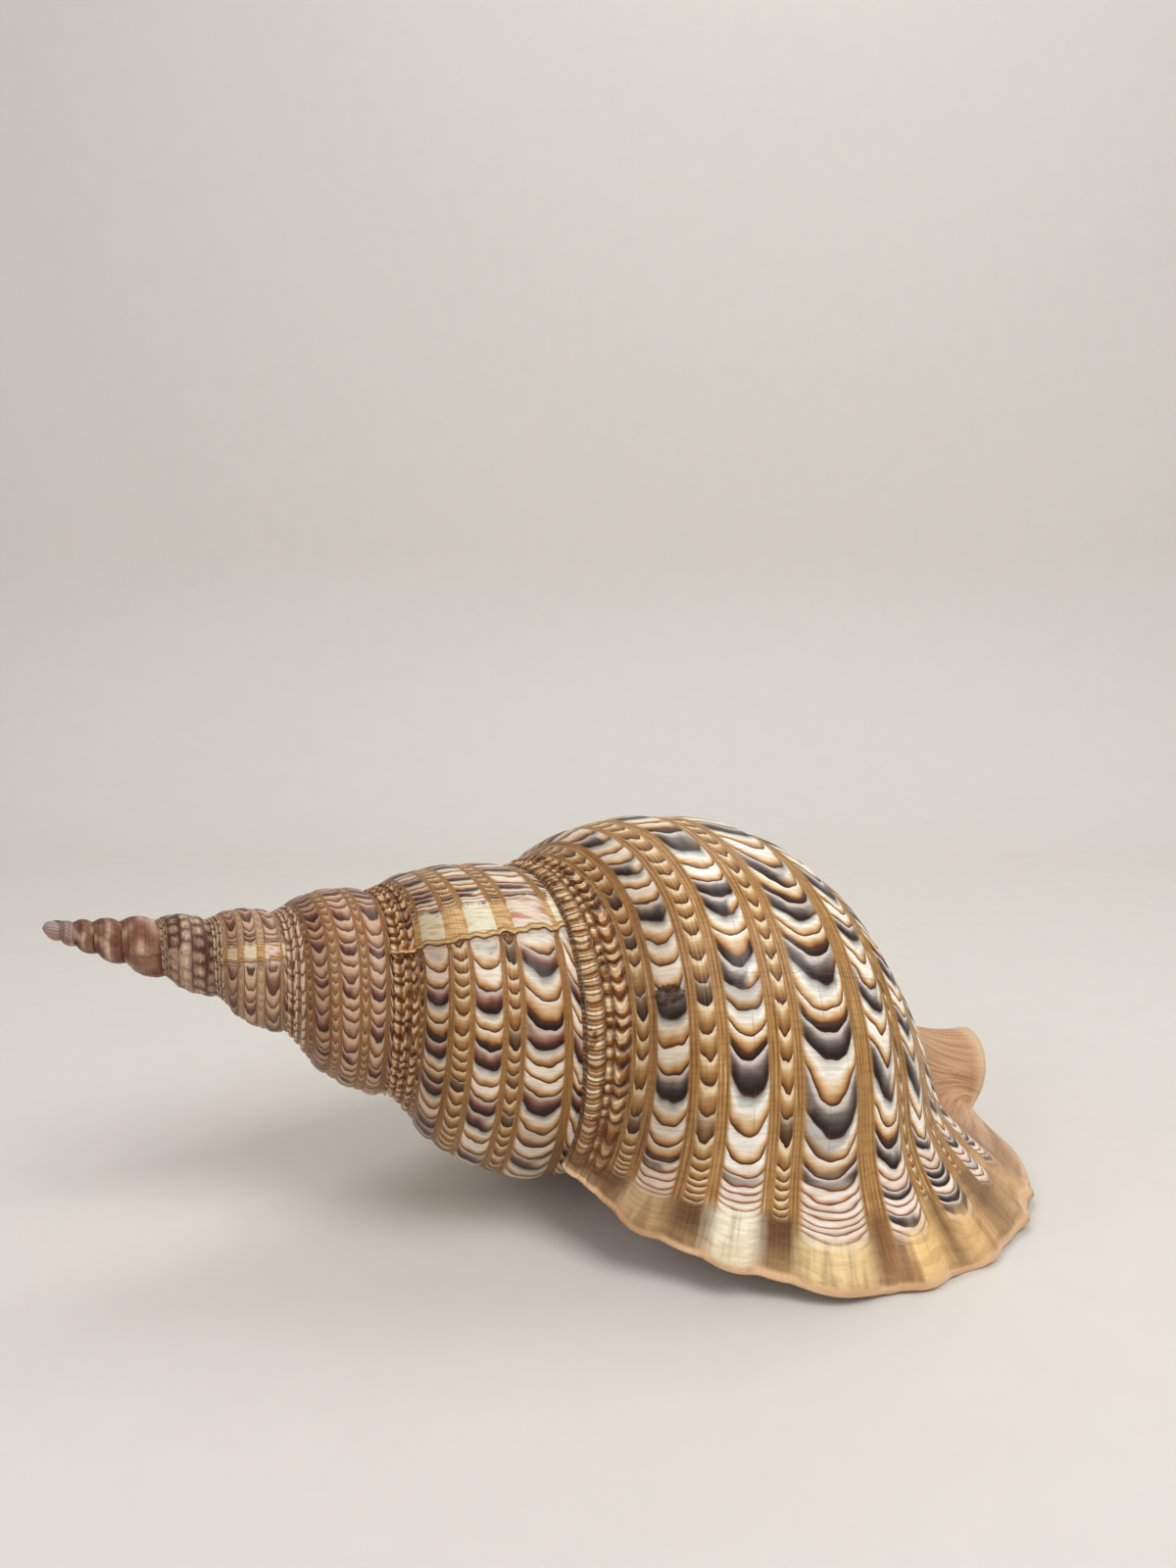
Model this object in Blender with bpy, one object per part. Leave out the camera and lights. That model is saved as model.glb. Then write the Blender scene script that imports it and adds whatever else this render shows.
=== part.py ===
"""Triton shell lying on its mouth: one grown piece, hollow and open at the aperture.

The shell is worked out the way it grew. A growth angle, counted in turns, winds round the
coiling axis, and at each turn a profile runs from the upper suture over the whorl to its
base. The profile's scale grows by a nearly fixed share a turn, and every whorl is glued to the
next along the suture. The last whorl runs on over its base to a short canal and ends in a flared
outer lip. The lumen is a tube of sections that follows the whorls inwards, and near the lip its
lower end stays open, which makes the canal.

Turns are zero near the outer lip and negative towards the apex. Lengths are in metres.
"""

import math

import bmesh
import bpy
import numpy as np

# Driving dimensions
LENGTH_UNIT = 0.46          # every length of the shell is a share of this
AXIS_DIP = math.radians(14.25)  # the apex end of the coiling axis is raised by this
PHASE = 0.0537              # turns from the level front to where the reference turn begins

# Growth of the suture
SUTURE_HEIGHT = 0.482 * LENGTH_UNIT     # along the axis, from its start to the last suture
SPIRE_GROWTH = 0.323        # natural logarithm of the growth a turn on the spire
LAST_GROWTH = 0.434         # and on the last whorl, which swells
GROWTH_BLEND = 0.22         # turns over which the one becomes the other
RATIO_TURNS = (-9.0, -6.0, -4.0, -2.0, -1.0, 0.0, 1.0)
SUTURE_RATIO = (0.232, 0.213, 0.196, 0.236, 0.292, 0.302, 0.318)  # radius over height

# Profile across a whorl: 0 at the upper suture, 1 where the next whorl covers it
PROFILE_AT = (0.0, 0.07, 0.22, 0.45, 0.72, 1.0, 1.35, 1.75, 2.35)
PROFILE_BULGE = (0.0, 0.030, 0.118, 0.161, 0.125, 0.0, -0.348, -0.963, -1.05)
APEX_FULLNESS = 0.63        # early whorls are this much flatter than the last
FULLNESS_TURN = -3.2        # where the whorls are half way to full, and how fast they get there
FULLNESS_BLEND = 0.6
FLAT_TURN = -1.28           # the whorl before the last has a flatter stretch: where, how long
FLAT_SPAN = 0.11
FLAT_SHARE = 0.5            # and by how much its bulge is less there
APEX_TIP = 0.93             # height of the blunt tip, as a share of the first suture's
PROFILE_END = 2.0

# Neck and canal: a smooth curve from the whorl's base to the end of the canal
NECK_AT = 1.5
NECK_PULL = 1.25            # how long the base keeps its direction, as a share of the neck's length
NECK_PULL_MOST = 2.2        # and at most this share of its radius
CANAL_HEIGHT = 0.970 * LENGTH_UNIT
CANAL_RADIUS = 0.046 * LENGTH_UNIT      # outside the canal, at its end
CANAL_SPREAD = 0.060 * LENGTH_UNIT      # how strongly the end spreads, like a trumpet
CANAL_ARRIVAL = 0.75
CANAL_TURNS = 0.6           # turns over which the canal's wall leaves the columella
PILLAR_RADIUS = 0.016 * LENGTH_UNIT     # the columella's end, where that wall starts
PILLAR_HOLLOW = 0.006 * LENGTH_UNIT     # how far it is dished

# Outer lip: where it ends, in turns, and how far it flares, along the profile
LIP_TURN = 0.065
LIP_AT = (0.0, 0.3, 0.77, 1.15, 1.5, 2.0)
LIP_TURNS = (LIP_TURN, 0.034, 0.012, -0.002, -0.002, 0.050)
LIP_FLARE = (0.027, 0.036, 0.062, 0.079, 0.095, 0.016)
FLARE_SPAN = 0.07           # turns
FLARE_POWER = 3.0
LIP_REACH = 0.35            # turns over which the rows lean to meet the slanting lip

# Wall and lumen
WALL = 0.0085 * LENGTH_UNIT
LIP_WALL = 0.0065 * LENGTH_UNIT
CALLUS = 0.0040 * LENGTH_UNIT
LUMEN_BASE = 1.48           # the lumen's lower end on the profile, deep inside
LUMEN_SQUEEZE = 1.2         # from here on its rows close up to reach it
LUMEN_TURNS = 4.25
CANAL_OPEN = 0.611          # turns before the lip over which the canal is open at its end
CANAL_FADE = 0.28           # turns over which the lumen then draws back from it
CORNER_OUT = 0.006 * LENGTH_UNIT        # the lumen's upper corner, from the suture
CORNER_DOWN = 0.015 * LENGTH_UNIT

# Grid
STEPS = 18                  # a turn
SMALL_STEP = 2e-3           # along the profile, for its direction
PATH_POINTS = 60
SPIRE_TURNS = 8.5
ROWS_ON_WHORL = (0.0, 0.06, 0.16, 0.30, 0.46, 0.62, 0.79, 0.92)
ROWS_ON_BASE = (1.0, 1.12, 1.22, 1.32, 1.42, 1.5, 1.62, 1.74, 1.87, PROFILE_END)

SHELL_COLOUR = (0.62, 0.45, 0.29, 1.0)
SHELL_ROUGHNESS = 0.35


def curve_through(places, values):
    """A natural cubic spline through the knots, as a function on arrays."""
    x, y = np.array(places), np.array(values)
    gap = np.diff(x)
    system, right = np.eye(len(x)), np.zeros(len(x))
    for i in range(1, len(x) - 1):
        system[i, i - 1 : i + 2] = gap[i - 1], 2 * (gap[i - 1] + gap[i]), gap[i]
        right[i] = 3 * ((y[i + 1] - y[i]) / gap[i] - (y[i] - y[i - 1]) / gap[i - 1])
    bend = np.linalg.solve(system, right)
    slope = np.diff(y) / gap - gap * (2 * bend[:-1] + bend[1:]) / 3
    twist = np.diff(bend) / (3 * gap)

    def value(at):
        at = np.asarray(at, float)
        i = np.clip(np.searchsorted(x, at) - 1, 0, len(x) - 2)
        u = at - x[i]
        return y[i] + u * (slope[i] + u * (bend[i] + u * twist[i]))

    return value


suture_ratio = curve_through(RATIO_TURNS, SUTURE_RATIO)
bulge = curve_through(PROFILE_AT, PROFILE_BULGE)
lip_turn = curve_through(LIP_AT, LIP_TURNS)
lip_flare = curve_through(LIP_AT, LIP_FLARE)


def ease(x):
    x = np.clip(x, 0.0, 1.0)
    return x * x * (3 - 2 * x)


def suture(turn):
    """(radius, height) of the upper suture."""
    swell = GROWTH_BLEND * (
        np.logaddexp(0, (turn + 1) / GROWTH_BLEND) - np.logaddexp(0, 1 / GROWTH_BLEND)
    )
    growth = SPIRE_GROWTH * turn + (LAST_GROWTH - SPIRE_GROWTH) * swell
    height = SUTURE_HEIGHT * np.exp(growth)
    return height * suture_ratio(turn), height


def scale(turn):
    """Size of the shell at a turn, as a share of its size at the lip."""
    return suture(np.asarray(turn, float))[1] / SUTURE_HEIGHT


def whorl(turn, at):
    """(radius, height): the chord from one suture to the next, and the bulge on it."""
    upper, lower = suture(turn), suture(turn + 1)
    rise = lower[1] - upper[1]
    grown_full = 1 / (1 + np.exp((FULLNESS_TURN - turn) / FULLNESS_BLEND))
    fullness = APEX_FULLNESS + (1 - APEX_FULLNESS) * grown_full
    flatter = FLAT_SHARE * np.exp(-(((turn - FLAT_TURN) / FLAT_SPAN) ** 2)) * (at < 1)
    fullness = fullness * (1 - flatter)
    radius = upper[0] + at * (lower[0] - upper[0]) + rise * fullness * bulge(at)
    return radius, upper[1] + at * rise


def outside(turn, at):
    """(radius, height) of the outer surface: the whorl, and a neck that eases into the canal."""
    turn, at = np.broadcast_arrays(np.asarray(turn, float), np.asarray(at, float))
    radius, height = whorl(turn, np.minimum(at, NECK_AT))
    top_r, top_h = whorl(turn, NECK_AT)
    before_r, before_h = whorl(turn, NECK_AT - SMALL_STEP)
    opened = ease((turn + 1 - LIP_TURN) / CANAL_TURNS)
    end_r = PILLAR_RADIUS + (CANAL_RADIUS - PILLAR_RADIUS) * opened
    span = np.hypot(end_r - top_r, CANAL_HEIGHT - top_h)
    lean = np.arctan2(top_r - before_r, top_h - before_h)
    pull = np.minimum(NECK_PULL * span, NECK_PULL_MOST * top_r)
    q = np.clip((at - NECK_AT) / (PROFILE_END - NECK_AT), 0, None)
    start, leave = 2 * q**3 - 3 * q**2 + 1, q**3 - 2 * q**2 + q
    end, arrive = 3 * q**2 - 2 * q**3, q**3 - q**2
    neck_r = start * top_r + leave * pull * np.sin(lean) + end * end_r + arrive * CANAL_SPREAD
    neck_h = start * top_h + leave * pull * np.cos(lean) + end * CANAL_HEIGHT
    neck_h += arrive * CANAL_ARRIVAL * span
    on_neck = at > NECK_AT
    return np.where(on_neck, neck_r, radius), np.where(on_neck, neck_h, height)


def outward(turn, at):
    """The profile's outward normal, as (radius, height)."""
    before, after = outside(turn, at - SMALL_STEP), outside(turn, at + SMALL_STEP)
    along_r, along_h = after[0] - before[0], after[1] - before[1]
    length = np.hypot(along_r, along_h)
    return along_h / length, -along_r / length


def skin(grown, at, depth=0.0):
    """(turn, radius, height) with the slanting, flared lip, and depth under the surface."""
    lean = ease((grown - (LIP_TURN - LIP_REACH)) / LIP_REACH)
    turn = grown + (lip_turn(at) - LIP_TURN) * lean
    radius, height = outside(turn, at)
    normal = outward(turn, at)
    near_lip = np.clip((turn - lip_turn(at)) / FLARE_SPAN + 1, 0, 1)
    shift = LENGTH_UNIT * lip_flare(at) * near_lip**FLARE_POWER - depth
    return turn, radius + shift * normal[0], height + shift * normal[1]


def place(turn, radius, height):
    """Points of the shell as it lies: +X along the dipping axis, the front towards -Y."""
    angle = 2 * math.pi * (turn + PHASE)
    front, down = radius * np.cos(angle), radius * np.sin(angle)
    x = height * math.cos(AXIS_DIP) - down * math.sin(AXIS_DIP)
    z = -height * math.sin(AXIS_DIP) - down * math.cos(AXIS_DIP)
    return np.stack([x, -front, z], axis=-1)


def lumen_section(grown):
    """One section of the lumen: down the inside of the wall, and back up the columella."""
    size = scale(min(grown, 0.0))
    in_canal = float(ease((grown - LIP_TURN + CANAL_OPEN) / CANAL_FADE + 1))
    at_lip = float(ease((grown - LIP_TURN) / FLARE_SPAN + 1))
    wall = size * (WALL + (LIP_WALL - WALL) * at_lip)
    base = LUMEN_BASE + (PROFILE_END - LUMEN_BASE) * in_canal
    at = np.array(ROWS_ON_WHORL[1:] + ROWS_ON_BASE)
    below = (at - LUMEN_SQUEEZE) / (PROFILE_END - LUMEN_SQUEEZE)
    at = np.where(below > 0, LUMEN_SQUEEZE + below * (base - LUMEN_SQUEEZE), at)
    outer_turn, outer_r, outer_h = skin(grown, at, wall)

    corner_r, corner_h = suture(grown)
    corner = place(grown, corner_r + size * CORNER_OUT, corner_h + size * CORNER_DOWN)

    path_at = np.linspace(NECK_AT, PROFILE_END, PATH_POINTS)
    lowest = np.interp(outer_h[-1], outside(grown - 1, path_at)[1], path_at)
    inner_at = np.array(ROWS_ON_BASE[1:])[::-1]
    below = (inner_at - NECK_AT) / (PROFILE_END - NECK_AT)
    inner_at = np.where(below > 0, NECK_AT + below * (lowest - NECK_AT), inner_at)
    inner_r, inner_h = outside(grown - 1, inner_at)
    normal = outward(grown - 1, inner_at)
    inner = place(grown, inner_r + size * CALLUS * normal[0], inner_h + size * CALLUS * normal[1])
    return np.vstack([corner, place(outer_turn, outer_r, outer_h), inner])


def shell_mesh():
    """Points and faces: the outside, the rim, the lumen and the end of the canal."""
    rows = ROWS_ON_WHORL + ROWS_ON_BASE
    seam = len(ROWS_ON_WHORL)
    count = int(SPIRE_TURNS * STEPS)
    grown = LIP_TURN - np.arange(count, -1, -1) / STEPS
    last = count - STEPS    # the step where the last whorl begins

    points, faces = [], []
    index = np.full((count + 1, len(rows)), -1)
    for i, turn in enumerate(grown):
        stays = len(rows) if i >= last else seam
        new = place(*skin(np.full(stays, turn), np.array(rows[:stays])))
        for row in range(stays):
            if row == seam:     # the lower edge of a whorl is the next one's upper suture
                continue
            index[i, row] = len(points)
            points.append(new[row])
    index[: last + 1, seam] = index[STEPS:, 0]
    for i in range(last + 1, count + 1):
        index[i, seam] = len(points)
        points.append(place(*skin(grown[i], rows[seam])))

    for i in range(count):
        stays = len(rows) if i >= last else seam + 1
        for row in range(stays - 1):
            faces.append((index[i, row], index[i, row + 1], index[i + 1, row + 1], index[i + 1, row]))

    # the blunt apex
    tip = len(points)
    points.append(place(0.0, 0.0, suture(grown[0])[1] * APEX_TIP))
    loop = list(index[: STEPS + 1, 0]) + list(index[0, seam - 1 : 0 : -1])
    faces += [(tip, a, b) for a, b in zip(loop, loop[1:] + loop[:1])]

    # the lumen, from the lip inwards: a slot stays open where it meets the canal's end
    rim = list(index[count]) + list(index[last, :seam:-1])
    wall_end = len(rows) - 1        # the wall's last point in a section, and the columella's first
    open_steps = round(CANAL_OPEN * STEPS)
    sections = [np.array(rim)]
    for step in range(int(LUMEN_TURNS * STEPS) + 1):
        ring = lumen_section(LIP_TURN - step / STEPS)
        sections.append(len(points) + np.arange(len(ring)))
        points.extend(ring)
    for step, (outer, inner) in enumerate(zip(sections[:-1], sections[1:])):
        for k in range(len(rim)):
            n = (k + 1) % len(rim)
            if k != wall_end or step > open_steps:
                faces.append((outer[k], outer[n], inner[n], inner[k]))

    # the canal's end: the edge of its wall, then the end of the columella
    foot = list(index[count : last - 1 : -1, -1])
    wall = [ring[wall_end] for ring in sections[1 : open_steps + 2]]
    pillar = [ring[wall_end + 1] for ring in sections[1 : open_steps + 2]]
    for k in range(open_steps):
        faces.append((foot[k], foot[k + 1], wall[k + 1], wall[k]))
    end = len(points)
    points.append(place(0.0, 0.0, CANAL_HEIGHT - PILLAR_HOLLOW))
    loop = pillar + [wall[-1]] + foot[open_steps:]
    faces += [(end, a, b) for a, b in zip(loop, loop[1:] + loop[:1])]

    # the lumen's blind end
    deepest = sections[-1]
    bottom = len(points)
    points.append(np.array(points)[deepest].mean(axis=0))
    faces += [(bottom, a, b) for a, b in zip(deepest, np.roll(deepest, -1))]
    return np.array(points), faces


def main():
    for obj in list(bpy.data.objects):
        bpy.data.objects.remove(obj, do_unlink=True)
    collection = bpy.data.collections.new("triton_shell")
    bpy.context.scene.collection.children.link(collection)

    points, faces = shell_mesh()
    low, high = points.min(axis=0), points.max(axis=0)
    points -= [(low[0] + high[0]) / 2, (low[1] + high[1]) / 2, low[2]]

    mesh = bpy.data.meshes.new("shell")
    mesh.from_pydata(points.tolist(), [], [tuple(int(i) for i in face) for face in faces])
    body = bmesh.new()
    body.from_mesh(mesh)
    bmesh.ops.triangulate(body, faces=body.faces)
    bmesh.ops.recalc_face_normals(body, faces=body.faces)
    if body.calc_volume(signed=True) < 0:
        bmesh.ops.reverse_faces(body, faces=body.faces)
    body.to_mesh(mesh)
    body.free()
    mesh.shade_smooth()

    material = bpy.data.materials.new("shell")
    material.use_nodes = True
    principled = material.node_tree.nodes["Principled BSDF"]
    principled.inputs["Base Color"].default_value = SHELL_COLOUR
    principled.inputs["Roughness"].default_value = SHELL_ROUGHNESS
    principled.inputs["Metallic"].default_value = 0.0
    mesh.materials.append(material)
    collection.objects.link(bpy.data.objects.new("shell", mesh))


main()
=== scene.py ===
"""Triton shell: the looks of one grown shell, lying on its mouth.

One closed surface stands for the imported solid. It is worked out the way the shell grew: a
growth angle, counted in turns, winds round the coiling axis, and a profile runs across each
whorl from its upper suture. Cords, old lips and the folds of the lip are relief on that surface.
Its colours follow a UV map that holds growth in turns and the place across the whorl.
"""

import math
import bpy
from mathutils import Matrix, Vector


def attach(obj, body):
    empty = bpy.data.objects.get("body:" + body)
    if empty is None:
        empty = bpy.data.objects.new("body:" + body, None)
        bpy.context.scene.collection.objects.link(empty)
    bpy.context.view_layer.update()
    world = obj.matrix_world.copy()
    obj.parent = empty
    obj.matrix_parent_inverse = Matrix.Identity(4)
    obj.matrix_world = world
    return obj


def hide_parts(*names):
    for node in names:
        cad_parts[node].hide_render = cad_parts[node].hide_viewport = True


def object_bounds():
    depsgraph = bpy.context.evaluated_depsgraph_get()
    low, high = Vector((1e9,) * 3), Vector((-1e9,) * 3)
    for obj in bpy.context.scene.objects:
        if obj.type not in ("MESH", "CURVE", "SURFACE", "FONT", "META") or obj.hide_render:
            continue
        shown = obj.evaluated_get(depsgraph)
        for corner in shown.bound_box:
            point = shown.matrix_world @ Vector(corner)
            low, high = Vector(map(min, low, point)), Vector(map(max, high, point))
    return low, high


bl_info = {
    "name": "Triton shell",
    "version": (1, 0, 0),
    "blender": (4, 5, 0),
    "location": "3D view > Sidebar > Triton",
    "description": "Builds a triton shell with its cords and markings, and a plain stage",
    "category": "Add Mesh",
}

from functools import partialmethod
from types import SimpleNamespace

import bpy
import numpy as np
from bpy.props import FloatProperty, FloatVectorProperty, PointerProperty
from mathutils import Matrix, Vector

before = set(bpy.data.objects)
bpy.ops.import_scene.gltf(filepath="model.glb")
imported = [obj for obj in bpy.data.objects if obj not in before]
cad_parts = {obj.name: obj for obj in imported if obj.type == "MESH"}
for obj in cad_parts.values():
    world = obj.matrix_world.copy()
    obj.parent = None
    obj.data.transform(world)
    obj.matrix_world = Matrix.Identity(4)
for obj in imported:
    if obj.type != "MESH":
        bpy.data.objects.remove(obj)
CAD_LOW, CAD_HIGH = [np.array(corner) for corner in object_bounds()]

# Growth: the same driving dimensions as the solid's, as shares of its length unit
LENGTH_SHARE = 0.92672      # the solid's length along X, as a share of the unit
UNIT = float(CAD_HIGH[0] - CAD_LOW[0]) / LENGTH_SHARE
AXIS_DIP = math.radians(14.25)
PHASE = 0.0537
SUTURE_HEIGHT = 0.482 * UNIT
SPIRE_GROWTH, LAST_GROWTH, GROWTH_BLEND = 0.323, 0.434, 0.22
APEX_FULLNESS, FULLNESS_TURN, FULLNESS_BLEND = 0.63, -3.2, 0.6
FLAT_TURN, FLAT_SPAN, FLAT_SHARE = -1.28, 0.11, 0.5
APEX_TIP = 0.93
APEX_REACH = 0.0107 * UNIT      # length of the apex's rounded end, and its (radius, reach) shares
APEX_RINGS = ((1.12, 0.30), (1.10, 0.62), (0.92, 0.86), (0.55, 0.97))
PROFILE_END = 2.0
NECK_AT, NECK_PULL, NECK_PULL_MOST = 1.5, 1.25, 2.2
CANAL_HEIGHT, CANAL_RADIUS = 0.970 * UNIT, 0.046 * UNIT
CANAL_SPREAD, CANAL_ARRIVAL, CANAL_TURNS = 0.060 * UNIT, 0.75, 0.6
PILLAR_RADIUS, PILLAR_HOLLOW = 0.016 * UNIT, 0.006 * UNIT
LIP_TURN = 0.065
FLARE_SPAN, FLARE_POWER, LIP_REACH = 0.07, 3.0, 0.35
WALL, LIP_WALL, CALLUS = 0.0085 * UNIT, 0.0065 * UNIT, 0.0040 * UNIT
LUMEN_BASE, LUMEN_SQUEEZE, LUMEN_TURNS = 1.48, 1.2, 2.75
CANAL_OPEN, CANAL_FADE = 0.611, 0.28
CORNER_OUT, CORNER_DOWN = 0.006 * UNIT, 0.015 * UNIT
IMPRINT, IMPRINT_SPAN = 0.75, 0.25      # share of the relief that shows inside, near the lip
INSIDE_FROM = 0.4           # share of the wall's depth from which the mouth's glaze starts
SMALL_STEP = 2e-3           # along the profile, for its direction
TINY = 1e-6                 # turns, so that equal columns are found in spite of rounding
PATH_POINTS, COUNT_POINTS = 60, 4000

# Cords across a whorl, by their places on the last one: (middle, half width, height in units), and
# on the main ones how far the crescents' middles lead their ends, and how flat these are
MAIN_CORDS = (
    (0.250, 0.052, 0.0042, 0.56, 2.8),
    (0.485, 0.071, 0.0044, 0.58, 3.4),
    (0.772, 0.113, 0.0046, 1.20, 2.1),
    (1.010, 0.068, 0.0042, 1.05, 1.8),
    (1.195, 0.056, 0.0036, 0.95, 1.6),
    (1.365, 0.036, 0.0028, 0.80, 1.7),
    (1.470, 0.030, 0.0022, 0.70, 1.8),
)
SMALL_CORDS = (
    (0.160, 0.020, 0.0018),
    (0.355, 0.031, 0.0020),
    (0.610, 0.026, 0.0020),
    (1.105, 0.010, 0.0008),
    (1.290, 0.010, 0.0008),
)
CRIMPED_CORDS = (
    (0.036, 0.026, 0.0056),
    (0.073, 0.009, 0.0028),
    (0.106, 0.020, 0.0042),
)
OLD_CRIMPED_CORDS = ((0.020, 0.019, 0.0050), (0.062, 0.019, 0.0046), (0.112, 0.018, 0.0040))
CRIMPS_FROM, CRIMPS_TO = -0.90, -0.72      # turns between which the newer set takes over
CRIMP_END = 0.130
BEAD_TURNS = (-9.0, -4.0, -3.1, -2.1, -1.2, -0.9, -0.4, 0.2)
BEAD_RATES = (14, 19, 22, 31, 50, 56, 68, 71)               # beads a turn
BEAD_SHIFTS = ((0.064, 0.37), (0.086, 0.31))                # where the beads shift, and by how much
BEAD_BOWS = ((0.036, 0.026, 0.16), (0.106, 0.020, 0.50))    # (middle, half, lead) of bowed beads
BEAD_BENDS = ((0.15, 97.0, 14.0), (0.11, 211.0, -10.0), (0.10, 53.0, 8.0))     # their unevenness
BEAD_GAP, BEAD_ROUNDNESS = 0.30, 0.8
GROOVE_DEPTH = 0.0028       # the grooves between cords lie this much under the plain surface

# The same places on older whorls, where the cords lie closer to or further from the suture
CORD_MARKS = (0, 0.13, 0.20, 0.30, 0.325, 0.385, 0.415, 0.555, 0.585, 0.635, 0.66, 0.885, 0.945, 1)
CORD_PLACES = (
    (-3.00, (0, 0.14, 0.19, 0.32, 0.34, 0.39, 0.41, 0.585, 0.60, 0.68, 0.70, 0.92, 0.96, 1)),
    (-2.27, (0, 0.13, 0.17, 0.31, 0.33, 0.40, 0.415, 0.625, 0.64, 0.70, 0.72, 0.95, 0.98, 1)),
    (-2.15, (0, 0.16, 0.215, 0.36, 0.38, 0.45, 0.475, 0.665, 0.685, 0.745, 0.76, 0.95, 0.98, 1)),
    (-1.95, (0, 0.19, 0.285, 0.425, 0.44, 0.51, 0.535, 0.70, 0.715, 0.78, 0.79, 0.93, 0.97, 1)),
    (-1.45, (0, 0.14, 0.18, 0.30, 0.32, 0.40, 0.42, 0.58, 0.60, 0.66, 0.675, 0.91, 0.945, 1)),
    (-1.10, (0, 0.125, 0.155, 0.272, 0.29, 0.378, 0.395, 0.555, 0.575, 0.648, 0.66, 0.91, 0.945, 1)),
    (-0.95, (0, 0.12, 0.148, 0.262, 0.282, 0.37, 0.387, 0.547, 0.567, 0.643, 0.655, 0.905, 0.94, 1)),
    (-0.30, (0, 0.10, 0.175, 0.268, 0.288, 0.352, 0.385, 0.535, 0.57, 0.625, 0.645, 0.875, 0.935, 1)),
    (-0.18, (0, 0.136, 0.204, 0.30, 0.325, 0.385, 0.415, 0.555, 0.585, 0.635, 0.66, 0.885, 0.945, 1)),
    (-0.09, (0, 0.144, 0.208, 0.302, 0.326, 0.385, 0.415, 0.555, 0.585, 0.635, 0.66, 0.885, 0.945, 1)),
    (0.02, (0, 0.121, 0.190, 0.296, 0.322, 0.385, 0.415, 0.555, 0.585, 0.635, 0.66, 0.885, 0.945, 1)),
)

# Old lips (varices): one every so many turns, crossing the cords at a slant
VARIX_TURN, VARIX_EVERY, VARIX_SLANT = -1.135, 0.645, 0.045
VARIX_BENDS = ((0.0016, 33.0), (0.0007, 85.0))      # waves of the crest, as turns
NEWEST_VARIX_END = -0.3     # no old lip after this turn: the next one is the lip itself
VARIX_SWELLS = ((0.045, 0.0040), (0.007, 0.0042))   # (turns, height) of the rise to the crest
STEP_TURNS, STEP_HEIGHT, STEP_SIDE = 0.002, 0.0082, 0.3     # and of the step after it

# Other relief: where the tip is worn and the neck starts, the lip's folds, and lumps
WORN_TURN, WORN_SPAN = -5.6, 1.8
NECK_FADE_AT, VARIX_FADE_AT, FADE_SPAN = 1.45, 1.3, 0.3
LIP_CALM, LIP_CORDS = 0.028, 0.40       # turns before the lip where its cords sink, and to what share
FOLD_HEIGHT, FOLD_LEVEL, FOLD_WIDTH = 0.0052, 0.45, 1.15
TIP_BULGE, TIP_TURN, TIP_SPAN = 0.012, -4.0, 0.6
LUMP_HEIGHT, LUMP_RATES = 0.0007, ((37.0, 3.0), (23.0, 11.0))       # rates of (growth, across)

# The lip's edge: (place across it, extra thousandths of a turn), with points where grooves end,
# which grow over the last turns before the lip
EDGE_SPAN = 0.02
EDGE_EXTRA = (
    (0, -6), (0.2, -1.2), (0.37, 0.4), (0.6, 0), (0.83, 0.4), (0.911, 3.2), (0.97, 1.7), (1.03, 2.0),
    (1.139, 4.6), (1.185, 2.0), (1.23, 1.8), (1.302, 2.8), (1.36, 0), (1.46, -1.5), (1.6, 1.2), (1.74, 0),
)


def curve_through(places, values):
    """A natural cubic spline through the knots, as a function on arrays."""
    x, y = np.array(places), np.array(values)
    gap = np.diff(x)
    inner = np.arange(1, len(x) - 1)
    system, right = np.eye(len(x)), np.zeros(len(x))
    system[inner, inner - 1], system[inner, inner + 1] = gap[:-1], gap[1:]
    system[inner, inner] = 2 * (gap[:-1] + gap[1:])
    right[1:-1] = 3 * np.diff(np.diff(y) / gap)
    bend = np.linalg.solve(system, right)
    slope = np.diff(y) / gap - gap * (2 * bend[:-1] + bend[1:]) / 3
    twist = np.diff(bend) / (3 * gap)

    def value(at):
        at = np.asarray(at, float)
        i = np.clip(np.searchsorted(x, at) - 1, 0, len(x) - 2)
        u = at - x[i]
        return y[i] + u * (slope[i] + u * (bend[i] + u * twist[i]))

    return value


suture_ratio = curve_through(
    (-9.0, -6.0, -4.0, -2.0, -1.0, 0.0, 1.0),
    (0.232, 0.213, 0.196, 0.236, 0.292, 0.302, 0.318),
)
bulge = curve_through(
    (0.0, 0.07, 0.22, 0.45, 0.72, 1.0, 1.35, 1.75, 2.35),
    (0.0, 0.030, 0.118, 0.161, 0.125, 0.0, -0.348, -0.963, -1.05),
)
LIP_AT = (0.0, 0.3, 0.77, 1.15, 1.5, 2.0)
lip_turn = curve_through(LIP_AT, (LIP_TURN, 0.034, 0.012, -0.002, -0.002, 0.050))
lip_flare = curve_through(LIP_AT, (0.027, 0.036, 0.062, 0.079, 0.095, 0.016))


def cord_place(grown, at):
    """A point's place across the cords, as if on the last whorl.

    The stretches between the marks widen or narrow from whorl to whorl; each adds its share.
    """
    grown, at = np.broadcast_arrays(np.asarray(grown, float), np.asarray(at, float))
    turns = [turn for turn, _ in CORD_PLACES]
    ends = [np.interp(grown, turns, column) for column in zip(*(row for _, row in CORD_PLACES))]
    place_across = np.maximum(at - 1, 0)
    for low, high, gain in zip(ends, ends[1:], np.diff(CORD_MARKS)):
        place_across = place_across + gain * np.clip((at - low) / (high - low), 0, 1)
    return place_across


def ease(x):
    """0 below 0, 1 above 1, and three squares less two cubes of x between."""
    x = np.clip(x, 0.0, 1.0)
    return x * x * (3 - 2 * x)


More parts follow.
